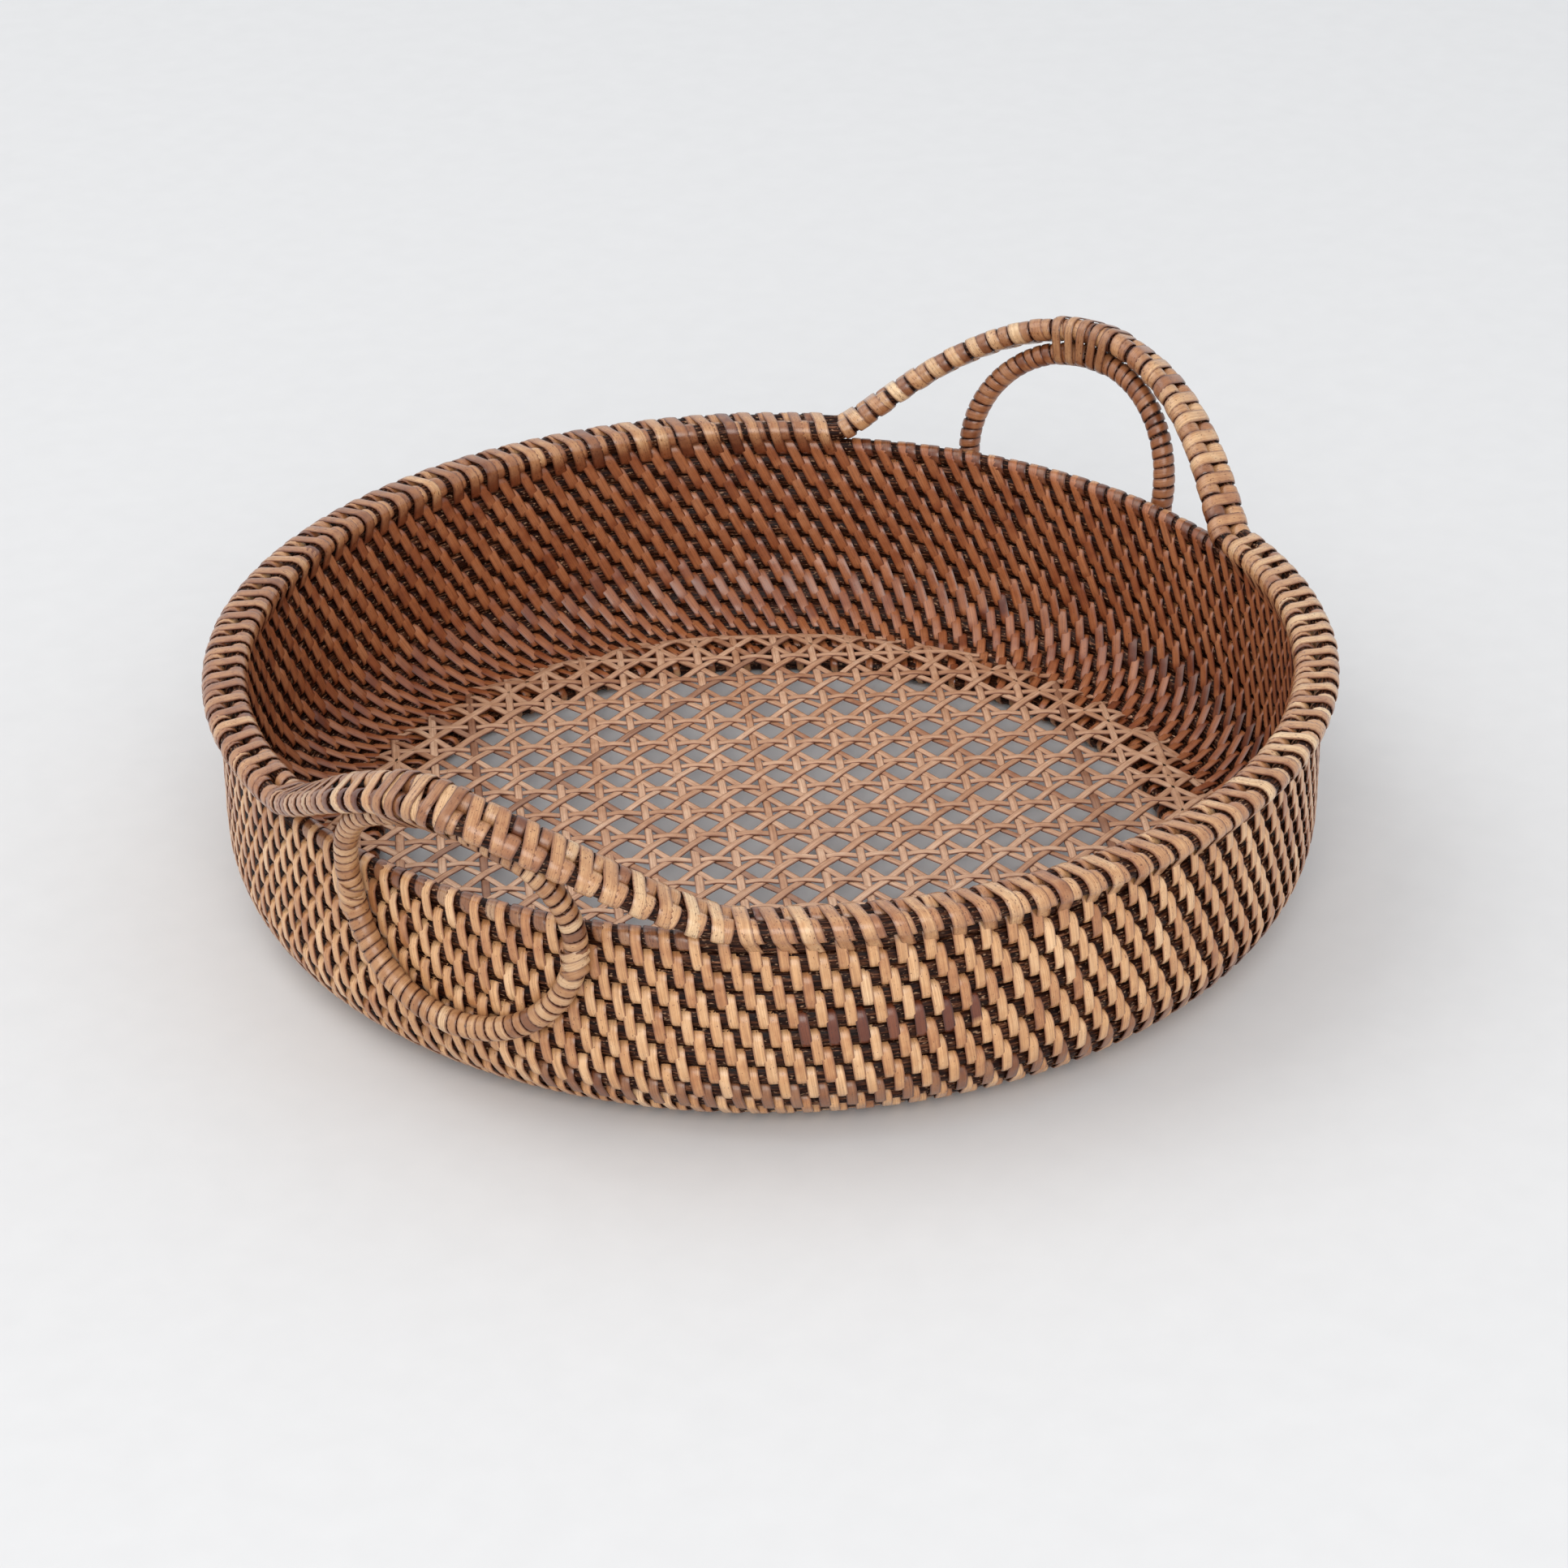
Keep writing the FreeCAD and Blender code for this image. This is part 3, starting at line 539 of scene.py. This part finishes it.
def wind_row(row):
    """The strip round two neighbouring hoops, all the way round the basket."""
    upper, lower = hoops[row - 1], hoops[row]
    places, normals = belt([lower, upper], 0.08 * MM + THICK / 2)
    up = np.array([upper[0] - lower[0], upper[1] - lower[1]])
    out = unit(np.array([up[1], -up[0]]))
    facing_out = normals @ out
    outside, inward = facing_out > 0, np.clip(-facing_out, 0, 1)
    span = np.linalg.norm(up) / 2 + rod_radius
    climb = (places - [(upper[0] + lower[0]) / 2, (upper[1] + lower[1]) / 2]) @ unit(up) / span
    upright = max(out[0], 0)  # 1 on the wall, 0 where the row lies flat on the ground
    # the strip is stiff, so it stands off half-way between its bends
    bow = BOW * upright * (1 - climb ** 2) * np.clip(facing_out, 0, 1)
    places = places + normals * bow[:, None]
    # how much of a pitch each step of the belt makes
    middle_out = outside[1:] & outside[:-1]
    length = np.diff(share_round(places)) * (0.35 + np.where(middle_out, 1, inward[1:] ** 2))
    lead = np.where(middle_out, OUTSIDE_LEAD / length[middle_out].sum(),
                    (1 - OUTSIDE_LEAD) / length[~middle_out].sum()) * length
    lead = np.concatenate([[0], np.cumsum(lead)])
    lead = lead - (lead[outside].min() + lead[outside].max()) / 2
    # one value for each point of each turn
    turn, index = np.arange(TURNS)[:, None], np.arange(TURNS + 1)
    share = closed_row(turn + share_round(places)[:-1], TURNS)
    angle = row * ROW_SHIFT - closed_row(turn + lead[:-1], TURNS + lead[0]) * PITCH
    angle = angle + np.interp(share, index, hand(TURNS, 0.035)) * PITCH
    width = STRIP * min(1, (min(upper[0], lower[0]) - rod_radius) / wall_radius)
    width = width * (1 + np.interp(share, index, hand(TURNS, 0.05)))
    width = width * (1.04 + 0.1 * closed_row(inward[:-1] + 0 * turn, inward[0]))
    lift = np.interp(share, index, np.abs(hand(TURNS, 0.12))) * upright * MM * 0.5
    places = np.concatenate([np.tile(places[:-1], (TURNS, 1)), places[:1]])
    normals = np.concatenate([np.tile(normals[:-1], (TURNS, 1)), normals[:1]])
    centre, facing = stand_up(angle, places + normals * lift[:, None], normals)
    tone = rng.normal(0.56, 0.115, TURNS)
    tone = closed_row(tone[:, None] + 0 * lead[:-1], tone[0])
    tone = tone + np.interp(share, index, hand(TURNS, 0.05))
    # painted shade: the strip is darkened and reddened where it faces into the basket, and half as
    # much on its sides
    darkening = np.clip(0.5 - normals @ out * 1.2, 0, 1) * 0.85
    degrees = np.degrees(angle) % 360
    low, high, deep, faint = DYED_ROWS.get(row, (0, 0, 0, 0))
    stain = np.where((degrees > low) & (degrees < high), deep, faint)
    piece = ribbon(
        f"wall_strip_row_{row:02d}", centre[None], facing[None], width[None],
        tone[None], darkening[None], stain[None],
    )
    put_in(piece, wall_strip, f"basket_binding_{row:02d}")
    return piece


wall_rows = [wind_row(row) for row in range(1, ROW_COUNT + 1)]
print("wall rows wound:", len(wall_rows), "faces", sum(len(p.data.polygons) for p in wall_rows))

# %% [markdown]
# ## The line of the handles
# Each handle is the pair of rim rods lifted off the rim into an arch. A smooth hump
# gives the line, with its own roundness and its own softness where the legs leave
# the rim. The same hump leans the arch outwards as it rises.

# %% Where the arches run
SPREAD = math.radians(2.5)
REACH = 18.8 * MM
HANDLES = {
    "left": {
        "angle": math.pi + SPREAD, "rise": 37.9 * MM, "span": math.radians(27.0),
        "bow": 1.6, "flare": 1.5,
    },
    "right": {
        "angle": -SPREAD, "rise": 41.6 * MM, "span": math.radians(27.5),
        "bow": 1.9, "flare": 1.25,
    },
}
FINE = 0.5 * MM


def arch_line(handle, share):
    """Middle of the arch's two rods, and the direction from the inner to the outer one."""
    rounded = np.clip(1 - np.abs(share) ** handle["bow"], 0, 1)
    hump = rounded ** handle["flare"]
    turn = handle["angle"] + share * handle["span"]
    out = np.stack([np.cos(turn), np.sin(turn), 0 * turn], -1)
    up = np.array([0, 0, 1.0])
    centre = out * (rim_middle + REACH * hump)[..., None]
    centre = centre + up * (rim_height + handle["rise"] * hump)[..., None]
    tilt = math.atan2(REACH, handle["rise"]) * hump
    return centre, out * np.cos(tilt)[..., None] - up * np.sin(tilt)[..., None]


def even_line(points, across, step):
    """The line with evenly spaced points: places, across, heading, below, distances."""
    length = np.concatenate([[0], np.cumsum(np.linalg.norm(np.diff(points, axis=0), axis=1))])
    count = max(2, int(round(length[-1] / step)))
    wanted = np.linspace(0, length[-1], count + 1)
    place = np.stack([np.interp(wanted, length, points[:, i]) for i in range(3)], -1)
    side = np.stack([np.interp(wanted, length, across[:, i]) for i in range(3)], -1)
    heading = unit(np.gradient(place, axis=0))
    side = unit(side - heading * (side * heading).sum(-1, keepdims=True))
    return place, side, heading, np.cross(heading, side), wanted


for name, handle in HANDLES.items():
    share = np.linspace(-1, 1, 241)
    handle["line"] = even_line(*arch_line(handle, share), FINE)
    print(name, "arch length", round(handle["line"][4][-1], 4))

# %% [markdown]
# ## Winding along any line
# On the rim, the arches and the rings turns of strip follow one another along a line.
# One function carries a belt's points to a line. Another makes separate turns round
# the rim, each with where it starts, how far it leans and how wide it is.

# %% Carry a belt to a line, and wind separate turns round the rim
TURN_RISE = 0.06 * MM  # how unevenly turns stand off the rods


def along_line(line, distance, places, normals):
    """Carry belt points (x across, y below) to a line, at distances along it."""
    def at(values):
        """The line's values at the distances."""
        return np.stack([np.interp(distance, line[4], values[:, i]) for i in range(3)], -1)

    side, below = unit(at(line[1])), unit(at(line[3]))
    centre = at(line[0]) + side * places[..., 0:1] + below * places[..., 1:2]
    return centre, side * normals[..., 0:1] + below * normals[..., 1:2]


def turns_round_rim(name, starts, circles, lean, width, hidden, tone, stain=0.0, room=0.1 * MM):
    """Separate turns of strip at some angles of the basket, all with one belt.

    lean is in pitches, and hidden is the direction in which a turn's ends lie.
    """
    places, normals = belt(circles, room + THICK / 2, steps=6, run=2, begin=hidden)
    count = len(starts)
    wobble = rng.normal(0, 0.05, (count, 1)) * PITCH
    lean = lean * (1 + rng.normal(0, 0.12, (count, 1))) * PITCH
    angle = starts[:, None] + wobble + lean * (0.5 - share_round(places))
    rise = np.abs(rng.normal(0, TURN_RISE, (count, 1, 1)))
    centre, facing = stand_up(angle, places[None] + normals[None] * rise, normals[None] + 0 * rise)
    strip = width * (1 + rng.normal(0, 0.05, (count, 1)))
    # painted shade: darker inside the basket, deepening from the top of the rim down
    darkening = np.clip((rim_height - places[:, 1]) / (6 * MM), 0, 0.85) * (places[:, 0] < rim_middle)
    return ribbon(name, centre, facing, strip, rng.normal(tone, 0.12, (count, 1)), darkening[None], stain)


# %% [markdown]
# ## The rim
# The rim is two rods side by side on top of the wall. Long turns go round the top
# hoop and both rods. Between them each rod has short turns of its own, so the rim
# looks closely wound, with small dark triangles where the strips part along
# the groove between the two rods.

# %% Wind the rim
left_legs = [HANDLES["left"]["angle"] + sign * HANDLES["left"]["span"] for sign in (-1, 1)]
right_legs = [HANDLES["right"]["angle"] + sign * HANDLES["right"]["span"] for sign in (-1, 1)]
RIM_HALVES = {
    "back": {"first": right_legs[1], "last": left_legs[0], "tone": 0.4},
    "front": {"first": left_legs[1], "last": right_legs[0] + 2 * math.pi, "tone": 0.53},
}
RIM_CLEAR = 0.01  # angle kept free at the legs of the arches


def wind_rim(side):
    """Long and short turns along one half of the rim."""
    first, last, tone = (RIM_HALVES[side][key] for key in ("first", "last", "tone"))
    angles = np.arange(math.ceil(first / PITCH), math.floor(last / PITCH) + 1) * PITCH
    angles = angles[(angles > first + RIM_CLEAR) & (angles < last - RIM_CLEAR)]
    made = [
        turns_round_rim(
            f"rim_{side}_long_turns", angles, [hoops[0], rim_outer, rim_inner],
            lean=1.35, width=STRIP * 1.28, hidden=-math.pi / 2, tone=tone, room=0.3 * MM,
        ),
        turns_round_rim(
            f"rim_{side}_outer_turns", angles + PITCH / 2, [rim_outer],
            lean=0.8, width=STRIP * 1.25, hidden=math.pi, tone=tone,
        ),
        turns_round_rim(
            f"rim_{side}_inner_turns", angles + PITCH * 0.42, [rim_inner],
            lean=0.6, width=STRIP * 1.15, hidden=0.0, tone=tone - 0.05,
        ),
    ]
    for piece in made:
        put_in(piece, rim_strip, f"rim_binding_{side}")
    return len(angles)


print("long turns on the rim:", {side: wind_rim(side) for side in ("back", "front")})

# %% [markdown]
# ## The top hoop under each arch
# Where the rim lifts off, the top hoop lies bare to view, so it is wound on its own
# with short glossy turns between the stitches of the first row.

# %% Wind the top hoop in the gaps
for side, handle in HANDLES.items():
    low, high = handle["angle"] - handle["span"], handle["angle"] + handle["span"]
    offset = ROW_SHIFT + PITCH / 2
    numbers = np.arange(math.ceil((low - offset) / PITCH), math.floor((high - offset) / PITCH) + 1)
    angles = offset + numbers * PITCH
    angles = angles[(angles > low + PITCH) & (angles < high - PITCH)]
    piece = turns_round_rim(
        f"top_turns_{side}", angles, [hoops[0]],
        lean=0.5, width=STRIP * 1.1, hidden=-math.pi / 2, tone=0.55, stain=0.6,
    )
    put_in(piece, rim_strip, f"top_binding_{side}")
    print(side, "turns on the top hoop:", len(angles))

# %% [markdown]
# ## The arches
# The winding of the rim runs on over the arches: a long turn round both rods, then
# short ones round each rod, all the way across.

# %% Wind the arches
half_gap = (rim_outer[0] - rim_inner[0]) / 2
rim_rod = rim_outer[2]


def turns_on_line(name, line, starts, circles, lean, width, hidden, tone, stain, room=0.16 * MM):
    """Separate turns of strip at some distances along a line; lean is a length."""
    places, normals = belt(circles, room + THICK / 2, steps=6, run=2, begin=hidden)
    count = len(starts)
    wobble = rng.normal(0, 0.25 * MM, (count, 1))
    distance = starts[:, None] + wobble + lean * (share_round(places) - 0.5)
    rise = np.abs(rng.normal(0, TURN_RISE, (count, 1, 1)))
    lifted = places[None] + normals[None] * rise
    centre, facing = along_line(line, distance, lifted, normals[None] + 0 * rise)
    strip = width * (1 + rng.normal(0, 0.05, (count, 1)))
    return ribbon(name, centre, facing, strip, tone, 0.0, stain)


for side, handle in HANDLES.items():
    line = handle["line"]
    length = line[4][-1]
    starts = np.arange(0.6 * STEP, length - 0.5 * STEP, STEP)
    starts = starts[np.interp(starts, line[4], line[0][:, 2]) > rim_height + 0.7 * MM]
    halfway = np.concatenate([starts[:1] - STEP / 2, starts + STEP / 2])
    outer, inner = (half_gap, 0, rim_rod), (-half_gap, 0, rim_rod)
    # the left arch has a dark stretch a third of the way along
    dark = np.exp(-((halfway / length - 0.36) / 0.13) ** 2)[:, None] * (side == "left")
    made = [
        turns_on_line(
            f"arch_{side}_long_turns", line, starts, [outer, inner],
            lean=6.5 * MM, width=STRIP * 1.3, hidden=math.pi / 2,
            tone=rng.normal(0.58, 0.14, (len(starts), 1)), stain=0.0, room=0.34 * MM,
        ),
        turns_on_line(
            f"arch_{side}_outer_turns", line, halfway, [outer],
            lean=-1.2 * MM, width=STRIP * 1.22, hidden=math.pi,
            tone=rng.normal(0.5, 0.14, (len(halfway), 1)), stain=dark,
        ),
        turns_on_line(
            f"arch_{side}_inner_turns", line, halfway, [inner],
            lean=1.2 * MM, width=STRIP * 1.15, hidden=0.0,
            tone=rng.normal(0.5, 0.14, (len(halfway), 1)), stain=0.2,
        ),
    ]
    for piece in made:
        put_in(piece, rim_strip, f"handle_{side}_binding")
    print(side, "arch turns:", len(starts), len(halfway))

# %% [markdown]
# ## The oval rings
# A ring of rod hangs outside the wall from the top of each arch. It is wound closely
# all the way round, turn against turn, as one long strip.

# %% Where the rings run, and their winding
RING_ROD = 3.15 * MM
RING_HALF_WIDTH = 40.0 * MM
RING_BOTTOM = 31.5 * MM
RING_PLAY = 0.3 * MM
RING_CORNERS = 28
ROUNDING = 0.45  # how much of each side a corner's curve takes
SNUG = 0.05 * MM
wall_outside = wall_radius + rod_radius + SNUG + THICK
ring_wrapped = RING_ROD + SNUG + THICK
arch_wrapped = rim_rod + 0.15 * MM + THICK


def under_arch(handle, share):
    """Where a ring's middle runs when it hangs right under the arch."""
    centre, across = arch_line(handle, share)
    heading = unit(arch_line(handle, share + 0.01)[0] - arch_line(handle, share - 0.01)[0])
    across = unit(across - heading * (across * heading).sum(-1, keepdims=True))
    return centre + np.cross(heading, across) * (arch_wrapped + ring_wrapped + RING_PLAY)


def ring_line(handle):
    """The oval: against the wall below, leaning out to the arch above."""
    top = under_arch(handle, np.array([0.0]))[0]
    top_reach = math.hypot(top[0], top[1])
    rest = wall_outside + ring_wrapped + THICK + 0.15 * MM
    middle, half = (top[2] + RING_BOTTOM) / 2, (top[2] - RING_BOTTOM) / 2
    leave = hoops[0][1] - 2 * rod_radius
    limits = under_arch(handle, np.linspace(-0.7, 0.7, 421))
    limit_angle = np.unwrap(np.arctan2(limits[:, 1], limits[:, 0]))
    turn = full_circle(RING_CORNERS) + math.pi / RING_CORNERS
    angle = handle["angle"] + RING_HALF_WIDTH / rest * np.sin(turn)
    apart = (angle[:, None] - limit_angle[None] + math.pi) % (2 * math.pi) - math.pi
    nearest = np.abs(apart).argmin(1)
    height = np.minimum(middle + half * np.cos(turn), limits[nearest, 2])
    above = np.clip((height - leave) / (top[2] - leave), 0, None)
    reach = rest + (top_reach - rest) * above ** 1.3
    corners = np.stack([reach * np.cos(angle), reach * np.sin(angle), height], -1)
    before, ahead = np.roll(corners, 1, axis=0), np.roll(corners, -1, axis=0)
    start, end = corners + (before - corners) * ROUNDING, corners + (ahead - corners) * ROUNDING
    share = np.linspace(0, 1, 7)[:, None]
    curves = (1 - share) ** 2 * start[:, None] + share ** 2 * end[:, None]
    fine = (curves + 2 * share * (1 - share) * corners[:, None]).reshape(-1, 3)
    fine = np.concatenate([fine, fine[:1]])
    out = unit(fine * np.array([1, 1, 0]))
    return even_line(fine, out, FINE)


for side, handle in HANDLES.items():
    line = ring_line(handle)
    handle["ring"] = line
    length = line[4][-1]
    turns = int(length / (STRIP * 1.04))
    index = np.arange(turns + 1)
    places, normals = belt([(0, 0, RING_ROD)], 0.06 * MM + THICK / 2, steps=6)
    share = (np.arange(turns)[:, None] + share_round(places)[:-1]).ravel()
    distance = share * length / turns + np.interp(share, index, hand(turns, 0.18 * MM))
    lift = np.interp(share, index, np.abs(hand(turns, 0.07 * MM)))
    around = np.tile(normals[:-1], (turns, 1))
    flat = np.tile(places[:-1], (turns, 1)) + around * lift[:, None]
    centre, facing = along_line(line, distance, flat, around)
    tone = np.repeat(rng.normal(0.5, 0.16, turns), len(places) - 1)
    width = STRIP * 0.91 * (1 + np.interp(share, index, hand(turns, 0.07)))
    # the right ring is drawn darker than the left one
    darkening = 0.1 if side == "left" else 0.7
    piece = ribbon(f"ring_winding_{side}", centre[None], facing[None], width[None], tone[None], darkening)
    put_in(piece, ring_strip, f"ring_binding_{side}")
    print(side, "ring turns:", turns, "length", round(length, 4))

# %% [markdown]
# ## Lashings and ties
# Turns of strip hold the ring up against the arch, and more turns, drawn through the
# wall, hold it at both sides. A tie is short and slants across the ring, so it is
# drawn as a bow over the ring with both ends let into the wall.

# %% Lash the rings to the arches
LASH_PLACES = np.array([-10, -5.5, 0, 5.0, 10.5]) * MM
drop = arch_wrapped + ring_wrapped + RING_PLAY
lashed = [(half_gap, 0, arch_wrapped), (0.0, drop, ring_wrapped), (-half_gap, 0, arch_wrapped)]
for side, handle in HANDLES.items():
    line = handle["line"]
    piece = turns_on_line(
        f"ring_lashing_turns_{side}", line, line[4][-1] / 2 + LASH_PLACES, lashed,
        lean=-3.0 * MM, width=STRIP, hidden=math.pi / 2,
        tone=rng.normal(0.42, 0.1, (len(LASH_PLACES), 1)), stain=0.3, room=0.35 * MM,
    )
    put_in(piece, rim_strip, f"ring_lashing_{side}")
print("turns in a lashing:", len(LASH_PLACES))

# %% Tie the rings to the wall
TIES = 3
TIE_STEP = 3.0 * MM
TIE_SLANT = 0.45


def ties(side, handle):
    """Slanting bows of strip over a ring, at both sides of it."""
    place = handle["ring"][0]
    level = hoops[1][1]
    sides = []
    for sign in (-1, 1):
        angle = handle["angle"] + sign * RING_HALF_WIDTH / wall_radius
        target = np.array([math.cos(angle), math.sin(angle)]) * wall_radius
        near = np.hypot(place[:, 0] - target[0], place[:, 1] - target[1]) + np.abs(place[:, 2] - level)
        sides.append((sign, int(near.argmin())))
    paths, facings = [], []
    turn = np.linspace(-0.42, 0.42, 17) * 2 * math.pi * 0.62
    for sign, index in sides:
        for number in range(TIES):
            spot = place[index] + np.array([0, 0, (number - 1) * TIE_STEP])
            out = unit(spot * np.array([1, 1, 0]))
            slant = unit(np.array([-out[1], out[0], TIE_SLANT * sign]))
            radius = ring_wrapped + 0.3 * MM + 0.12 * MM * number
            bow = out[None] * np.cos(turn)[:, None] + slant[None] * np.sin(turn)[:, None]
            paths.append(spot + bow * radius)
            facings.append(bow)
    piece = ribbon(
        f"ring_ties_turns_{side}", np.array(paths), np.array(facings), STRIP * 0.95,
        rng.normal(0.55, 0.1, (len(paths), 1)), 0.0, 0.1,
    )
    put_in(piece, ring_strip, f"ring_ties_{side}")
    return len(paths)


print("ties:", {side: ties(side, handle) for side, handle in HANDLES.items()})

# %% [markdown]
# ## The caned floor
# Four sets of strands fill the bottom. Sets A and B cross nearly squarely, and two
# slanting sets run between their crossings, like a chair seat with wide diamonds.
# Where strands cross, one has to pass over: A goes over B at their crossings and under
# the slanting pair halfway between, while B passes over the slanting pair. Each
# strand's height is a wave through these levels, which is how a weaver's hand would
# run it.

# %% Weave the floor
CANE = 2.8 * MM
CANE_THICK = 0.5 * MM
TURN_A = math.radians(39.0)
TURN_B = math.radians(125.0)
PITCH_A = 13.5 * MM
PITCH_B = 15.8 * MM
FLOOR_EDGE = 149.0 * MM
FLAT_FROM = 126.0 * MM  # from here to the edge the strands lie flat on the border
TUCK_FROM = 140.0 * MM  # from here their ends go down into it
STRAND_POINTS = 121
floor_level = (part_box("floor_strands_b")[0].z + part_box("floor_strands_d")[1].z) / 2
along_a = np.array([math.cos(TURN_A), math.sin(TURN_A)])
along_b = np.array([math.cos(TURN_B), math.sin(TURN_B)])
step_a = along_a * PITCH_B / math.sin(TURN_B - TURN_A)
step_b = along_b * PITCH_A / math.sin(TURN_B - TURN_A)
to_lattice = np.linalg.inv(np.stack([step_a, step_b], axis=1))


def strands(name, node, lines, wave):
    """One set of strands: lines are (point, direction) pairs, wave gives the heights.

    wave takes a place counted in steps of the two straight sets, so that a whole
    number is a crossing.
    """
    paths, widths = [], []
    for point, direction in lines:
        nearest = -np.dot(point, direction)
        off = np.linalg.norm(point + direction * nearest)
        if off > FLOOR_EDGE - 2 * CANE:
            continue
        edge = FLOOR_EDGE + rng.normal(0, 1.2 * MM)
        half = math.sqrt(edge ** 2 - off ** 2)
        reach = np.linspace(nearest - half, nearest + half, STRAND_POINTS)
        flat = point[None] + reach[:, None] * direction[None]
        bend = rng.normal(0, 0.5 * MM) * np.sin(reach / rng.uniform(18, 40) / MM + rng.uniform(0, 6))
        lattice = flat @ to_lattice.T
        out = np.linalg.norm(flat, axis=1)
        calm = np.clip((out - FLAT_FROM) / (8 * MM), 0, 1)
        height = wave(lattice[:, 0], lattice[:, 1]) * CANE_THICK * (1 - calm)
        height = floor_level + height + calm * 0.2 * MM
        # the ends are tucked down among the stitches of the border
        end = np.clip((out - TUCK_FROM) / (7 * MM), 0, 1)
        height = height - end ** 2 * rng.uniform(2.0, 2.8) * MM
        flat = flat + bend[:, None] * np.array([-direction[1], direction[0]])
        paths.append(np.concatenate([flat, height[:, None]], axis=1))
        widths.append(CANE * (1 + rng.normal(0, 0.06)))
    centre = np.array(paths)
    facing = np.zeros_like(centre)
    facing[..., 2] = 1
    count = len(paths)
    dark = (rng.random((count, 1)) < 0.08) * 0.55
    tone = rng.normal(0.52, 0.1, (count, 1))
    width = np.array(widths)[:, None]
    piece = ribbon(name, centre, facing, width, tone, 0.0, dark, thick=CANE_THICK)
    put_in(piece, floor_cane, node)
    return count


def swing(phase, at_crossing, halfway):
    """A wave with one height at a crossing and another halfway to the next one."""
    middle, half = (at_crossing + halfway) / 2, (at_crossing - halfway) / 2
    return middle + half * np.cos(2 * math.pi * phase)


def slanted(sign):
    """Points and directions of the slanting strands."""
    direction = unit(step_a + sign * step_b)
    return [((n + 0.5) * step_b, direction) for n in range(-26, 26)]


straight_a = [(n * step_b, along_a) for n in range(-11, 12)]
straight_b = [(n * step_a, along_b) for n in range(-10, 11)]
print("floor strands:", [
    strands("floor_strands_a_woven", "floor_strands_a", straight_a, lambda u, v: swing(u, 0.6, -1.0)),
    strands("floor_strands_b_woven", "floor_strands_b", straight_b, lambda u, v: swing(v, -0.5, 1.0)),
    strands("floor_strands_c_woven", "floor_strands_c", slanted(-1), lambda u, v: swing(u, 0.0, 1.0)),
    strands("floor_strands_d_woven", "floor_strands_d", slanted(1), lambda u, v: swing(u, -1.0, 0.0)),
])

# %% [markdown]
# ## Floor, light and camera
# A plain pale floor and two broad soft lamps keep the eye on the basket. One stands
# high on the left, and a stronger one in front, above the camera. A nearly white
# surround fills the shadows, as the walls of a studio do. The paper's tone wanders a
# little, some 13 mm from patch to patch, so faintly that it hardly shows.

# %% Floor and light
floor_mesh = bpy.data.meshes.new("studio_floor")
floor_mesh.from_pydata([(-6, -6, 0), (6, -6, 0), (6, 6, 0), (-6, 6, 0)], [], [(0, 1, 2, 3)])
studio_floor = bpy.data.objects.new("studio_floor", floor_mesh)
bpy.context.collection.objects.link(studio_floor)
paper = bpy.data.materials.new("Matt white background paper")
paper.use_nodes = True
paper_shader = paper.node_tree.nodes["Principled BSDF"]
paper_grain = add(paper.node_tree, "TexNoise", {"Scale": 900.0, "Detail": 2.0})
paper_tone = set_stops(add(paper.node_tree, "ValToRGB", {"Fac": paper_grain.outputs["Fac"]}),
                       ((0.2, "#d7d7d8"), (0.8, "#dadadb")))
paper.node_tree.links.new(paper_tone, paper_shader.inputs["Base Color"])
paper_shader.inputs["Roughness"].default_value = 0.9
paper_shader.inputs["Specular IOR Level"].default_value = 0.1
floor_mesh.materials.append(paper)
studio_floor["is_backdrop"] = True

world = bpy.data.worlds.new("studio_surround")
world.use_nodes = True
surround = world.node_tree.nodes["Background"]
surround.inputs["Color"].default_value = (0.94, 0.97, 1.0, 1)
surround.inputs["Strength"].default_value = 0.84
bpy.context.scene.world = world

LAMPS = (("soft_key", (-1.00, 2.00, 3.10), 3.2, 40), ("front_fill", (-2.75, -1.95, 2.10), 3.0, 86))
for name, place, size, energy in LAMPS:
    lamp = bpy.data.lights.new(name, "AREA")
    lamp.shape = "DISK"
    lamp.size = size
    lamp.energy = energy
    lamp.color = (1.0, 0.965, 0.92)
    lamp_stand = bpy.data.objects.new(name, lamp)
    lamp_stand.location = Vector(place)
    lamp_stand.rotation_euler = (-lamp_stand.location).to_track_quat("-Z", "Y").to_euler()
    bpy.context.collection.objects.link(lamp_stand)
print("lamps:", [lamp[0] for lamp in LAMPS])

# %% Camera
ROLL = math.radians(-0.66)
camera = bpy.data.cameras.new("camera")
camera.lens = 98.8
camera.sensor_width = 36.0
camera_stand = bpy.data.objects.new("camera", camera)
eye = Vector((-1.0199, -0.6751, 0.6976))
aim = Vector((0.0021, -0.0032, 0.0259))
turned = (aim - eye).to_track_quat("-Z", "Y").to_matrix().to_4x4() @ Matrix.Rotation(ROLL, 4, "Z")
camera_stand.matrix_world = Matrix.Translation(eye) @ turned
bpy.context.collection.objects.link(camera_stand)
bpy.context.scene.camera = camera_stand
bpy.context.scene.view_settings.view_transform = "Standard"

# %% Measure the visual box
low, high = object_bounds()
print("visual box", [round(v, 4) for v in high - low])
